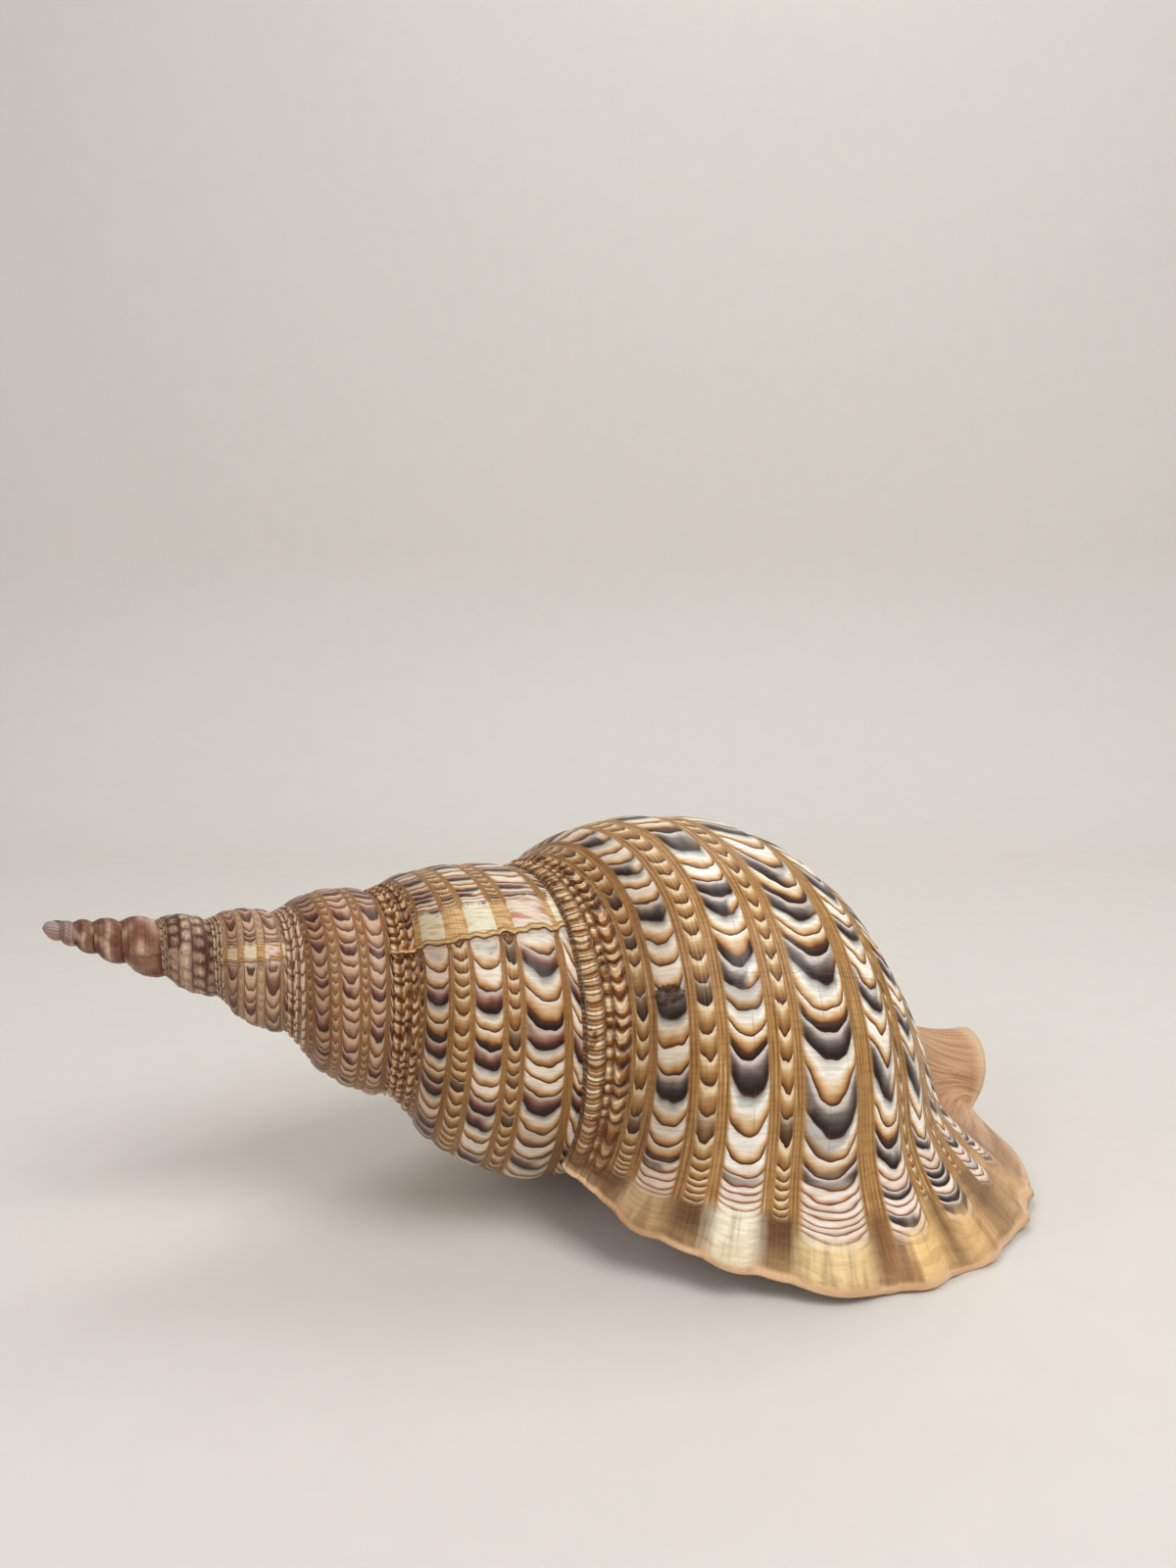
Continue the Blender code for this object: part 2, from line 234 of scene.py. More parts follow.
def suture(turn):
    """(radius, height) of the upper suture: the height grows by a nearly fixed share a turn."""
    swell = GROWTH_BLEND * (
        np.logaddexp(0, (turn + 1) / GROWTH_BLEND) - np.logaddexp(0, 1 / GROWTH_BLEND)
    )
    growth = SPIRE_GROWTH * turn + (LAST_GROWTH - SPIRE_GROWTH) * swell
    height = SUTURE_HEIGHT * np.exp(growth)
    return height * suture_ratio(turn), height


def scale(turn):
    """Size of the shell at a turn, as a share of its size at the lip."""
    return suture(np.asarray(turn, float))[1] / SUTURE_HEIGHT


def whorl(turn, at):
    """(radius, height): the chord from one suture to the next, and the bulge on it."""
    upper, lower = suture(turn), suture(turn + 1)
    rise = lower[1] - upper[1]
    grown_full = 1 / (1 + np.exp((FULLNESS_TURN - turn) / FULLNESS_BLEND))
    fullness = APEX_FULLNESS + (1 - APEX_FULLNESS) * grown_full
    flatter = FLAT_SHARE * np.exp(-(((turn - FLAT_TURN) / FLAT_SPAN) ** 2)) * (at < 1)
    fullness = fullness * (1 - flatter)
    radius = upper[0] + at * (lower[0] - upper[0]) + rise * fullness * bulge(at)
    return radius, upper[1] + at * rise


def outside(turn, at):
    """(radius, height) of the plain surface: the whorl, and a Hermite curve on to the canal."""
    turn, at = np.broadcast_arrays(np.asarray(turn, float), np.asarray(at, float))
    radius, height = whorl(turn, np.minimum(at, NECK_AT))
    top_r, top_h = whorl(turn, NECK_AT)
    before_r, before_h = whorl(turn, NECK_AT - SMALL_STEP)
    opened = ease((turn + 1 - LIP_TURN) / CANAL_TURNS)
    end_r = PILLAR_RADIUS + (CANAL_RADIUS - PILLAR_RADIUS) * opened
    span = np.hypot(end_r - top_r, CANAL_HEIGHT - top_h)
    lean = np.arctan2(top_r - before_r, top_h - before_h)
    pull = np.minimum(NECK_PULL * span, NECK_PULL_MOST * top_r)
    q = np.clip((at - NECK_AT) / (PROFILE_END - NECK_AT), 0, None)
    start, leave = 2 * q**3 - 3 * q**2 + 1, q**3 - 2 * q**2 + q
    end, arrive = 3 * q**2 - 2 * q**3, q**3 - q**2
    neck_r = start * top_r + leave * pull * np.sin(lean) + end * end_r + arrive * CANAL_SPREAD
    neck_h = start * top_h + leave * pull * np.cos(lean) + end * CANAL_HEIGHT
    neck_h += arrive * CANAL_ARRIVAL * span
    on_neck = at > NECK_AT
    return np.where(on_neck, neck_r, radius), np.where(on_neck, neck_h, height)


def outward(turn, at):
    """The profile's outward normal, as (radius, height), from its slope."""
    before, after = outside(turn, at - SMALL_STEP), outside(turn, at + SMALL_STEP)
    along_r, along_h = after[0] - before[0], after[1] - before[1]
    length = np.hypot(along_r, along_h)
    return along_h / length, -along_r / length


def cord_bumps(across, cords):
    """Sum of the cords' heights: each is height * (1 - p^4), p running -1 to 1 across it."""
    total = np.zeros_like(across)
    for middle, half, height, *_ in cords:
        p = (across - middle) / half
        total += height * np.clip(1 - p**4, 0, 1)
    return total


def laid_down(grown, turns, rates, waves=()):
    """How many there are since the apex: the rate a turn, bent by sines of growth, added up."""
    at = np.linspace(turns[0], turns[-1], COUNT_POINTS)
    wander = 1 + sum(size * np.sin(rate * at + start) for size, rate, start in waves)
    rate = np.interp(at, turns, rates) * wander
    total = np.concatenate([[0.0], np.cumsum(rate[:-1] * np.diff(at))])
    return np.interp(grown, at, total)


def bead_phase(grown, across):
    """How many beads were laid down since the apex, shifted from one cord to the next.

    A square of the place on its cord bows each bead, and sines make the beads uneven in length.
    """
    phase = laid_down(grown, BEAD_TURNS, BEAD_RATES)
    for start, shift in BEAD_SHIFTS:
        phase = phase + shift * (across > start)
    for middle, half, lead in BEAD_BOWS:
        phase = phase + lead * np.clip((across - middle) / half, -1, 1) ** 2
    for size, growth_rate, across_rate in BEAD_BENDS:
        phase = phase + size * np.sin(growth_rate * grown + across_rate * across)
    return phase


def before_old_lip(grown, across):
    """Turns left until the next old lip's crest, whose line slants and waves over the cords."""
    wave = sum(size * np.sin(rate * across + 1.0) for size, rate in VARIX_BENDS)
    since = (grown + VARIX_SLANT * across + wave - VARIX_TURN) / VARIX_EVERY
    return (1 - (since - np.floor(since))) * VARIX_EVERY


def relief(grown, at):
    """Height over the plain surface: cords, old lips that rise slowly and end in a step, folds."""
    settings = bpy.context.scene.triton_shape
    across = cord_place(grown, at)
    worn = ease((grown - WORN_TURN) / WORN_SPAN)
    on_neck = 1 - ease((at - NECK_FADE_AT) / FADE_SPAN)
    to_lip = ease(np.clip((LIP_TURN - grown) / LIP_CALM, 0, None))
    newer = ease((grown - CRIMPS_FROM) / (CRIMPS_TO - CRIMPS_FROM))
    crimps = newer * cord_bumps(across, CRIMPED_CORDS) + (1 - newer) * cord_bumps(across, OLD_CRIMPED_CORDS)
    beads = np.abs(np.sin(math.pi * bead_phase(grown, across))) ** BEAD_ROUNDNESS
    crimps = crimps * (BEAD_GAP + (1 - BEAD_GAP) * beads)
    spiral = cord_bumps(across, MAIN_CORDS + SMALL_CORDS) + crimps - GROOVE_DEPTH
    cords = spiral * worn * on_neck * settings.cord_height * (LIP_CORDS + (1 - LIP_CORDS) * to_lip)

    left = before_old_lip(grown, across)
    gone = VARIX_EVERY - left
    rise = sum(height * np.exp(-((left / turns) ** 2)) for turns, height in VARIX_SWELLS)
    rise = np.where(gone < STEP_SIDE, STEP_HEIGHT * np.exp(-((gone / STEP_TURNS) ** 2)), rise)
    old_lips = rise * (grown < NEWEST_VARIX_END) * worn * (1 - ease((at - VARIX_FADE_AT) / FADE_SPAN))

    swell = np.zeros_like(across)
    for middle, half, *_ in MAIN_CORDS:
        p = np.clip((across - middle) / (FOLD_WIDTH * half), -1, 1)
        swell = swell + (1 - p * p) ** 2
    folds = FOLD_HEIGHT * (swell - FOLD_LEVEL) * (1 - to_lip) * on_neck
    rounded = TIP_BULGE * np.sin(math.pi * np.clip(at, 0, 1)) * ease((TIP_TURN - grown) / TIP_SPAN)
    lumps = LUMP_HEIGHT * worn
    for growth_rate, across_rate in LUMP_RATES:
        lumps = lumps * np.sin(growth_rate * grown + across_rate * at)
    return UNIT * scale(np.minimum(grown, 0.0)) * (cords + old_lips + folds + lumps + rounded)


def scallop(at):
    """Extra turns at the lip's edge: small points where the grooves between the cords end."""
    return np.interp(at, *zip(*EDGE_EXTRA)) * 1e-3


def skin(grown, at, depth=0.0, bumpy=1.0):
    """(turn, radius, height) with the slanting, flared lip, depth under the surface."""
    lean = ease((grown - (LIP_TURN - LIP_REACH)) / LIP_REACH)
    close = ease((grown - LIP_TURN) / EDGE_SPAN + 1)
    turn = grown + (lip_turn(at) - LIP_TURN) * lean + scallop(at) * close
    radius, height = outside(turn, at)
    normal = outward(turn, at)
    near_lip = np.clip((turn - lip_turn(at)) / FLARE_SPAN + 1, 0, 1)
    shift = UNIT * lip_flare(at) * near_lip**FLARE_POWER - depth + bumpy * relief(grown, at)
    return turn, radius + shift * normal[0], height + shift * normal[1]


def place(turn, radius, height):
    """Points of the shell as it lies: +X along the dipping axis, the front towards -Y."""
    angle = 2 * math.pi * (turn + PHASE)
    front, down = radius * np.cos(angle), radius * np.sin(angle)
    x = height * math.cos(AXIS_DIP) - down * math.sin(AXIS_DIP)
    z = -height * math.sin(AXIS_DIP) - down * math.cos(AXIS_DIP)
    return np.stack([x, -front, z], axis=-1)


# The grid: (from, to, columns a turn), in turns before the lip, and rows across a whorl.
# The rows under the suture have their own columns, close enough for the beads.
TURNS, BEADED_END = 8.5, 0.135
COLUMN_SPANS = ((TURNS, 5.5, 30), (5.5, 3.0, 60), (3.0, 2.0, 120), (2.0, 0.0, 240))
BEADED_SPANS = ((TURNS, 5.5, 30), (5.5, 3.0, 120), (3.0, 2.0, 240), (2.0, 0.0, 480))
BEADED_ROWS = np.linspace(0, BEADED_END, 20)
WHORL_ROWS = np.linspace(BEADED_END, 1, 54)[1:-1]
BASE_ROWS = np.concatenate([np.linspace(1, NECK_AT, 31)[:-1], np.linspace(NECK_AT, PROFILE_END, 18)])
RINGS_A_TURN, DEEP_RINGS_A_TURN, FINE_RINGS = 48, 18, 30
COLUMNS_A_RING = 5          # columns of the last whorl for each ring of the lumen
EDGE_ANGLES = (35.0, 90.0, 145.0)      # rings round the lip's edge, in degrees
EDGE_RADIUS = 0.24 * UNIT
EDGE_REACH = LIP_WALL / (2 * math.pi * EDGE_RADIUS) / 2         # half a wall, as turns at the lip
FIRST_LUMEN = len(EDGE_ANGLES) + 1
OPEN_RINGS = round(CANAL_OPEN * RINGS_A_TURN)


class Net:
    """Numbers of points, with the corner values (growth, across, inside, depth) of faces there."""

    def __init__(self, index, at):
        self.index, self.at = index, at

    def __getitem__(self, key):
        return Net(self.index[key], self.at[key])

    def __len__(self):
        return len(self.index)

    def rolled(self):
        """The same loop, started one point on."""
        return Net(np.roll(self.index, -1, 0), np.roll(self.at, -1, 0))

    def repeated(self, count):
        """One point, as often as asked."""
        return Net(np.full(count, self.index), np.broadcast_to(self.at, (count, 4)))


def joined(*nets, along=np.concatenate):
    """Several nets as one, put together in the given way."""
    return Net(along([net.index for net in nets]), along([net.at for net in nets]))


def cells(net):
    """The four corners of every cell between the net's columns and rows."""
    return net[:-1, :-1], net[:-1, 1:], net[1:, 1:], net[1:, :-1]


class Surface:
    """Points laid down block by block, and the triangles between them."""

    def __init__(self):
        self.blocks, self.triangles, self.corners = [], [], []

    def points(self):
        return np.concatenate(self.blocks)

    def lay(self, points, at):
        """Adds points, and returns the net of them."""
        first = sum(len(block) for block in self.blocks)
        self.blocks.append(points.reshape(-1, 3))
        numbers = first + np.arange(len(self.blocks[-1]))
        return Net(numbers.reshape(points.shape[:-1]), at)

    def faces(self, first, *others):
        """Faces of three or four corners, the latter split in two; each corner is a net."""
        for corners in zip((first, first), others, others[1:]):
            self.triangles.append(np.stack([net.index for net in corners], -1).reshape(-1, 3))
            self.corners.append(np.stack([net.at for net in corners], -2).reshape(-1, 3, 4))

    def fan(self, middle, loop):
        """A closed loop of points joined to one in its middle."""
        self.faces(middle.repeated(len(loop)), loop, loop.rolled())

    def stitch(self, fine, coarse, match, order=1):
        """A strip between two rows; match[c] is the fine row's place beside coarse point c.

        Each coarse step's first half of fine steps joins to its start, the rest to its end.
        """
        ratio = np.diff(match)
        for many in np.unique(ratio):
            c = np.flatnonzero(ratio == many)
            f = match[c]
            half = max(1, many // 2)
            for s in range(many):
                self.faces(*(coarse[c + (s >= half)], fine[f + s], fine[f + s + 1])[::order])
            self.faces(*(coarse[c], fine[f + half], coarse[c + 1])[::order])


def outer_at(grown, rows):
    """Corner values on the outside: growth, place across the cords, and not inside."""
    grown, rows = np.broadcast_arrays(grown, rows)
    zero = np.zeros(grown.shape)
    return np.stack([grown, cord_place(grown, rows), zero, zero], -1)


def outer_net(surface, grown, rows):
    """The outside's points over columns of growth and rows across, laid down as a net."""
    grown, rows = np.broadcast_arrays(grown[:, None], rows[None, :])
    return surface.lay(place(*skin(grown, rows)), outer_at(grown, rows))


def lumen_ring(grown, depth_share, beyond):
    """One ring of the lumen: down the inside of the wall, and back up the columella."""
    size = scale(min(grown, 0.0))
    in_canal = float(ease((grown - LIP_TURN + CANAL_OPEN) / CANAL_FADE + 1))
    at_lip = float(ease((grown - LIP_TURN) / FLARE_SPAN + 1))
    wall = size * (WALL + (LIP_WALL - WALL) * at_lip)
    base = LUMEN_BASE + (PROFILE_END - LUMEN_BASE) * in_canal
    at = np.concatenate([BEADED_ROWS[1:], WHORL_ROWS, BASE_ROWS])
    below = (at - LUMEN_SQUEEZE) / (PROFILE_END - LUMEN_SQUEEZE)
    at = np.where(below > 0, LUMEN_SQUEEZE + below * (base - LUMEN_SQUEEZE), at)
    imprint = IMPRINT * float(ease((grown - LIP_TURN) / IMPRINT_SPAN + 1))
    turn, outer_r, outer_h = skin(grown + beyond, at, wall * depth_share, imprint)

    corner_r, corner_h = suture(grown)
    share = size * depth_share
    corner = place(grown, corner_r + share * CORNER_OUT, corner_h + share * CORNER_DOWN)

    path_at = np.linspace(NECK_AT, PROFILE_END, PATH_POINTS)
    lowest = np.interp(outer_h[-1], outside(grown - 1, path_at)[1], path_at)
    inner_at = BASE_ROWS[:0:-1]
    below = (inner_at - NECK_AT) / (PROFILE_END - NECK_AT)
    inner_at = np.where(below > 0, NECK_AT + below * (lowest - NECK_AT), inner_at)
    inner_r, inner_h = outside(grown - 1, inner_at)
    normal = outward(grown - 1, inner_at)
    callus = share * CALLUS
    inner = place(grown, inner_r + callus * normal[0], inner_h + callus * normal[1])
    return np.vstack([corner, place(turn, outer_r, outer_h), inner])


def growth_columns(spans):
    """Growth of the columns, from the apex to the lip."""
    grown = [LIP_TURN - np.arange(int(a * n), int(b * n), -1) / n for a, b, n in spans]
    return np.append(np.concatenate(grown), LIP_TURN)


def shell_surface():
    """(points, triangles, corner values) of the whole closed surface.

    Columns follow growth and rows cross a whorl. A whorl's lower row is stitched to the next
    whorl's suture. The last whorl has more rows, down to the canal's end. Rings go round the
    lip's edge and into the lumen.
    """
    fine, grown = growth_columns(BEADED_SPANS), growth_columns(COLUMN_SPANS)
    last = int(np.searchsorted(grown, LIP_TURN - 1 - TINY))
    same = np.searchsorted(fine, grown - TINY)
    after = np.searchsorted(fine, grown[: last + 1] + 1 - TINY)
    surface = Surface()
    beaded = outer_net(surface, fine, BEADED_ROWS)
    whorls = outer_net(surface, grown, WHORL_ROWS)
    base = outer_net(surface, grown[last:], BASE_ROWS[1:])
    surface.faces(*cells(beaded))
    surface.faces(*cells(whorls))
    surface.stitch(beaded[:, -1], whorls[:, 0], same, order=-1)
    seam = Net(beaded.index[:, 0], outer_at(fine - 1, 1.0))
    surface.stitch(seam, whorls[: last + 1, -1], after)

    # the last whorl's lower part: its first row is the lip's own, and it starts at the suture
    row_at = outer_at(grown[last:], 1.0)
    row = surface.lay(place(*skin(grown[last + 1 :], np.ones(len(row_at) - 1))), row_at[1:])
    row = Net(np.append(beaded.index[-1, 0], row.index), row_at)
    lower = joined(row[:, None], base, along=np.hstack)
    surface.faces(*cells(lower))
    surface.faces(*cells(joined(whorls[last:, -1], row, along=lambda parts: np.stack(parts, 1))))

    close_apex(surface, beaded, whorls, after[0])
    rim = joined(beaded[-1], whorls[-1], lower[-1], lower[0, :0:-1])
    rings, wall_end = line_lumen(surface, rim)
    close_canal(surface, rings, wall_end, lower[::-1, -1])
    blind = surface.points()[rings.index[-1]].mean(0)
    surface.fan(surface.lay(blind, rings.at[-1, 0]), rings[-1])
    triangles, corners = np.concatenate(surface.triangles), np.concatenate(surface.corners)
    return surface.points(), triangles[:, ::-1], corners[:, ::-1]


def close_apex(surface, beaded, whorls, turn_end):
    """The rounded apex: rings over its end, each a share of the loop's radius and of the reach."""
    loop = joined(beaded[: turn_end + 1, 0], joined(beaded[0], whorls[0])[:0:-1])
    tip_height = suture(beaded.at[0, 0, 0])[1]
    middle = place(0.0, 0.0, tip_height)
    beyond = place(0.0, 0.0, tip_height - APEX_REACH) - middle
    around = surface.points()[loop.index] - middle
    for radius_share, reach_share in APEX_RINGS:
        inner = surface.lay(middle + around * radius_share + beyond * reach_share, loop.at)
        surface.faces(inner, loop, loop.rolled(), inner.rolled())
        loop = inner
    surface.fan(surface.lay(middle + beyond, loop.at[0]), loop)


def line_lumen(surface, rim):
    """Rings round the lip's edge, then into the lumen; a slot stays open at the canal's end."""
    wall_end = len(BEADED_ROWS) + len(WHORL_ROWS) + len(BASE_ROWS) - 1
    steps = []
    for angle in np.radians(EDGE_ANGLES):
        steps.append((LIP_TURN, (1 - math.cos(angle)) / 2, EDGE_REACH * math.sin(angle)))
    near = LIP_TURN - np.arange(FINE_RINGS + 1) / RINGS_A_TURN
    deep = np.arange(near[-1], LIP_TURN - LUMEN_TURNS, -1 / DEEP_RINGS_A_TURN)[1:]
    steps += [(turn, 1.0, 0.0) for turn in np.concatenate([near, deep])]
    across = np.concatenate([BEADED_ROWS, WHORL_ROWS, BASE_ROWS, 2 * PROFILE_END - BASE_ROWS[:0:-1]])
    rings = [rim]
    for turn, share, beyond in steps:
        at = np.broadcast_arrays(turn, across, share, LIP_TURN - turn)
        rings.append(surface.lay(lumen_ring(turn, share, beyond), np.stack(at, -1)))
    rings = joined(*rings, along=np.array)
    k = np.arange(len(rim))
    for step in range(len(rings) - 1):
        a = k[(k != wall_end) | (step >= FIRST_LUMEN + OPEN_RINGS)]
        b = (a + 1) % len(rim)
        surface.faces(rings[step, a], rings[step, b], rings[step + 1, b], rings[step + 1, a])
    return rings, wall_end


def close_canal(surface, rings, wall_end, foot):
    """The canal's end: the edge of its wall, then the end of the columella."""
    opened = slice(FIRST_LUMEN, FIRST_LUMEN + OPEN_RINGS + 1)
    wall = rings[opened, wall_end]
    j = np.arange(OPEN_RINGS)
    half = COLUMNS_A_RING // 2
    for sub in range(COLUMNS_A_RING):
        f = COLUMNS_A_RING * j + sub
        surface.faces(foot[f], foot[f + 1], wall[j + (sub > half)])
    surface.faces(wall[j], foot[COLUMNS_A_RING * j + half + 1], wall[j + 1])
    edge = rings[1 : FIRST_LUMEN + 1, wall_end]
    surface.faces(foot[0].repeated(len(edge) - 1), edge[1:], edge[:-1])
    pillar = rings[1 : opened.stop, wall_end + 1]
    loop = joined(pillar, wall[-1:], foot[COLUMNS_A_RING * OPEN_RINGS :])
    end = place(0.0, 0.0, CANAL_HEIGHT - PILLAR_HOLLOW)
    surface.fan(surface.lay(end, pillar.at[FIRST_LUMEN - 1]), loop)


# Crescents a turn at turns of growth, on the main cords and on the small ones, and how they wander
BAND_TURNS = (-9.0, -4.0, -2.9, -2.3, -1.9, -1.4, -1.0, -0.6, -0.1, 0.2)
MAIN_RATES = (16, 14, 20, 41, 49, 51, 52, 52, 52, 52)
SMALL_RATES = (20, 22, 30, 48, 54, 60, 66, 60, 57, 56)
BAND_WAVES = ((0.13, 29.0, 0.0), (0.10, 67.0, 1.0))
LIP_CROWD, LIP_CROWD_SPAN, LIP_CROWD_POWER, LIP_CROWD_MOST = 4.5, 0.036, 2.4, 1.3
OLD_LIP_CROWD, OLD_CROWD_FROM, OLD_CROWD_SPAN, OLD_CROWD_MOST = 2.5, 0.09, 0.045, 1.2
BARE_LIP = 0.017            # turns of the lip's edge without crescents


def band_counts(grown, across):
    """How many crescents were laid down since the apex, on the main cords and on the small ones.

    The number a turn changes from whorl to whorl, wanders a little, and rises before each lip.
    """
    near = np.clip((grown - LIP_TURN + BARE_LIP) / LIP_CROWD_SPAN + 1, 0, LIP_CROWD_MOST)
    left = before_old_lip(grown, across)
    old = np.clip((OLD_CROWD_FROM - left) / OLD_CROWD_SPAN, 0, OLD_CROWD_MOST) * (grown < NEWEST_VARIX_END)
    crowd = LIP_CROWD * near**LIP_CROWD_POWER + OLD_LIP_CROWD * old**2
    return [laid_down(grown, BAND_TURNS, rates, BAND_WAVES) + crowd for rates in (MAIN_RATES, SMALL_RATES)]


THREADS = 72                # threads between the cords, for each unit across
TEETH_PAIRS = 8.0           # pairs of teeth for each unit across the lip
COLUMELLA_RIDGES = 34.0     # and ridges on the columella
CORD_SEED = 7.31            # keeps the cords' noises apart
BUMP_STRENGTH = 0.8
OUTSIDE_RELIEF, MOUTH_RELIEF = 0.0004, 0.0008       # metres of bump for a height of 1
OUTSIDE_PITS, MOUTH_PITS = 0.15, 0.08               # depth of the wear's pits, as heights

# Where along growth the outside changes: a mask for each, 0 at the first turn and 1 at the second
GROWTH_MASKS = {
    "newer": (CRIMPS_FROM, CRIMPS_TO),
    "newest": (-0.45, -0.20),
    "older": (-1.45, -2.1),
    "oldest": (-2.45, -2.85),
    "reddened": (-0.65, -1.05),
    "browned": (-0.6, -1.0),
    "pinked": (-1.3, -2.0),
    "in_knobs": (-3.40, -3.62),
    "worn_tip": (-4.45, -4.70),
    "shinier_tip": (-4.4, -4.7),
    "bleached_tip": (-7.8, -8.3),
    "near_lip": (-0.02, 0.03),
    "thinned": (0.018, 0.032),
    "all_light": (0.024, 0.036),
    "before_lip": (0.03, 0.0),
    "to_rim": (LIP_TURN - 0.012, LIP_TURN - 0.001),
    "at_rim": (LIP_TURN - 0.0028, LIP_TURN - 0.0010),
}

# Noises over the outside: (rate along growth, rate across, detail, roughness)
NOISES = {
    "streaks": (30.0, 90.0, 2.0, 0.5),
    "blotch": (34.0, 22.0, 3.0, 0.6),
    "flutes": (22.0, 26.0, 3.0, 0.6),
    "lines": (330.0, 9.0, 2.0, 0.6),
    "fine_lines": (620.0, 14.0, 2.0, 0.5),
    "broad": (120.0, 5.0, 1.5, 0.5),
    "ragged": (260.0, 60.0, 4.0, 0.7),
    "ridges": (150.0, 2.5, 2.0, 0.5),
    "clouds": (5.0, 1.6, 1.0, 0.5),
}

# Colour ramps: stops of (place, colour), each colour the panel's or red, green, blue in 0 to 255
RAMPS = {
    "light": (
        (0.0, "cream"), (0.06, "white"), (0.44, "white"), (0.62, "cream"), (0.79, "golden"),
        (0.92, "brown"), (1.0, "dark"),
    ),
    "brown": (
        (0.0, "white"), (0.24, "cream"), (0.46, "golden"), (0.64, "brown"), (0.88, "dark"), (1.0, "dark"),
    ),
    "after dark": (
        (0.0, "slate"), (0.14, "mist"), (0.40, "white"), (0.60, "cream"), (0.80, "golden"),
        (0.95, "brown"), (1.0, "dark"),
    ),
    "dark": (
        (0.0, "blush"), (0.12, "blush"), (0.32, "slate"), (0.56, "plum"), (0.80, "dark"),
        (0.92, "dark"), (1.0, "brown"),
    ),
    "old dark": (
        (0.0, "blush"), (0.12, "blush"), (0.32, (160, 116, 100)), (0.54, (104, 58, 48)),
        (0.80, (48, 22, 16)), (1.0, (40, 18, 10)),
    ),
    "old light": (
        (0.0, (206, 180, 154)), (0.10, (236, 214, 190)), (0.36, (214, 188, 162)),
        (0.60, (174, 138, 110)), (0.84, (114, 76, 54)), (1.0, (58, 32, 20)),
    ),
    "thin": (
        (0.0, (226, 196, 178)), (0.25, (244, 232, 222)), (0.60, (238, 220, 204)),
        (0.78, (206, 160, 128)), (0.90, (136, 84, 60)), (1.0, (92, 54, 38)),
    ),
    "small light": (
        (0.0, "cream"), (0.16, (236, 214, 178)), (0.36, (198, 160, 108)), (0.60, (164, 120, 66)),
        (0.80, (132, 88, 42)), (0.93, "brown"), (1.0, "dark"),
    ),
    "small dark": (
        (0.0, (196, 182, 158)), (0.20, (132, 110, 86)), (0.50, (98, 68, 44)), (0.80, (60, 36, 20)),
        (1.0, "dark"),
    ),
    # between the cords: deep tan to tan of the shell's own, and a painted highlight as the lightest stop,
    # on the threads' crests where the streaks are light
    "between": ((0.18, "deep_tan"), (0.52, "tan"), (0.72, "tan"), (0.90, (212, 178, 134))),
    # pale to brown along each bead, the shell's own colours; the near-white stops at 0.30 and 0.50, near
    # the bead's top, are a painted highlight
    "pale bead": (
        (0.0, "brown"), (0.08, "amber"), (0.20, "cream"), (0.30, (255, 246, 228)), (0.50, (252, 236, 210)),
        (0.62, "cream"), (0.74, "golden"), (0.88, "amber"), (0.95, "brown"), (1.0, "dark"),
    ),
    "dark bead": (
        (0.0, "dark"), (0.16, "mist"), (0.36, "golden"), (0.58, "amber"), (0.78, "brown"), (1.0, "dark"),
    ),
    # the smooth tip's clouds: rose and brown of the shell's own, with cream stops that are painted
    # highlights, laid where the clouds are light
    "worn": (
        (0.0, (104, 54, 38)), (0.34, (132, 80, 62)), (0.46, "rose"), (0.56, (182, 142, 120)),
        (0.66, (216, 180, 152)), (1.0, (228, 198, 168)),
    ),
    "mouth": (
        (0.0, "peach"), (0.03, (246, 232, 214)), (0.12, (244, 214, 184)), (0.45, (226, 152, 96)),
        (1.0, (240, 206, 172)),
    ),
    # along the lip's edge, by half of the place across the cords
    "lip": (
        (0.0, (126, 90, 54)), (0.085, (118, 82, 48)), (0.105, (214, 186, 142)), (0.14, (208, 178, 132)),
        (0.160, (124, 86, 50)), (0.185, (108, 74, 42)), (0.222, (246, 236, 206)), (0.262, (250, 240, 212)),
        (0.290, (112, 74, 38)), (0.322, (106, 72, 40)), (0.352, (244, 216, 160)), (0.422, (238, 204, 146)),
        (0.450, (124, 84, 50)), (0.480, (160, 114, 66)), (0.495, (246, 206, 138)), (0.535, (230, 190, 128)),
        (0.560, (128, 92, 56)), (0.590, (226, 184, 126)), (0.615, (214, 172, 118)), (0.645, (138, 106, 74)),
        (0.668, (142, 110, 78)), (0.695, (204, 162, 114)), (0.735, (196, 154, 110)), (0.76, (142, 110, 80)),
        (0.80, (202, 160, 120)), (1.0, (198, 156, 118)),
    ),
}


def shade(colour):
    """A colour of the panel by its name, or red, green, blue in 0 to 255 as linear values."""
    if isinstance(colour, str):
        return getattr(bpy.context.scene.triton_colours, colour)
    shown = np.array(colour) / 255
    linear = np.where(shown <= 0.04045, shown / 12.92, ((shown + 0.055) / 1.055) ** 2.4)
    return (*(float(v) for v in linear), 1.0)


class Value:
    """A node's output. Arithmetic on it adds nodes, so that formulas read as they are meant."""

    def __init__(self, wire, socket):
        self.wire, self.socket = wire, socket

    def math(self, operation, *others):
        return self.wire.math(operation, self, *others)

    def __rsub__(self, other):
        return self.wire.math("SUBTRACT", other, self)

    __add__, __sub__ = partialmethod(math, "ADD"), partialmethod(math, "SUBTRACT")
    __mul__, __pow__ = partialmethod(math, "MULTIPLY"), partialmethod(math, "POWER")
    __lt__, __gt__ = partialmethod(math, "LESS_THAN"), partialmethod(math, "GREATER_THAN")
    __abs__, sine = partialmethod(math, "ABSOLUTE"), partialmethod(math, "SINE")
    floor, fract = partialmethod(math, "FLOOR"), partialmethod(math, "FRACT")

    def rise(self, low, high):
        """0 up to low, 1 from high, eased between them; low may be the larger."""
        ends = (self, low, high, 0.0, 1.0)
        made = self.wire.node("ShaderNodeMapRange", *ends, interpolation_type="SMOOTHSTEP")
        return Value(self.wire, made.outputs[0])


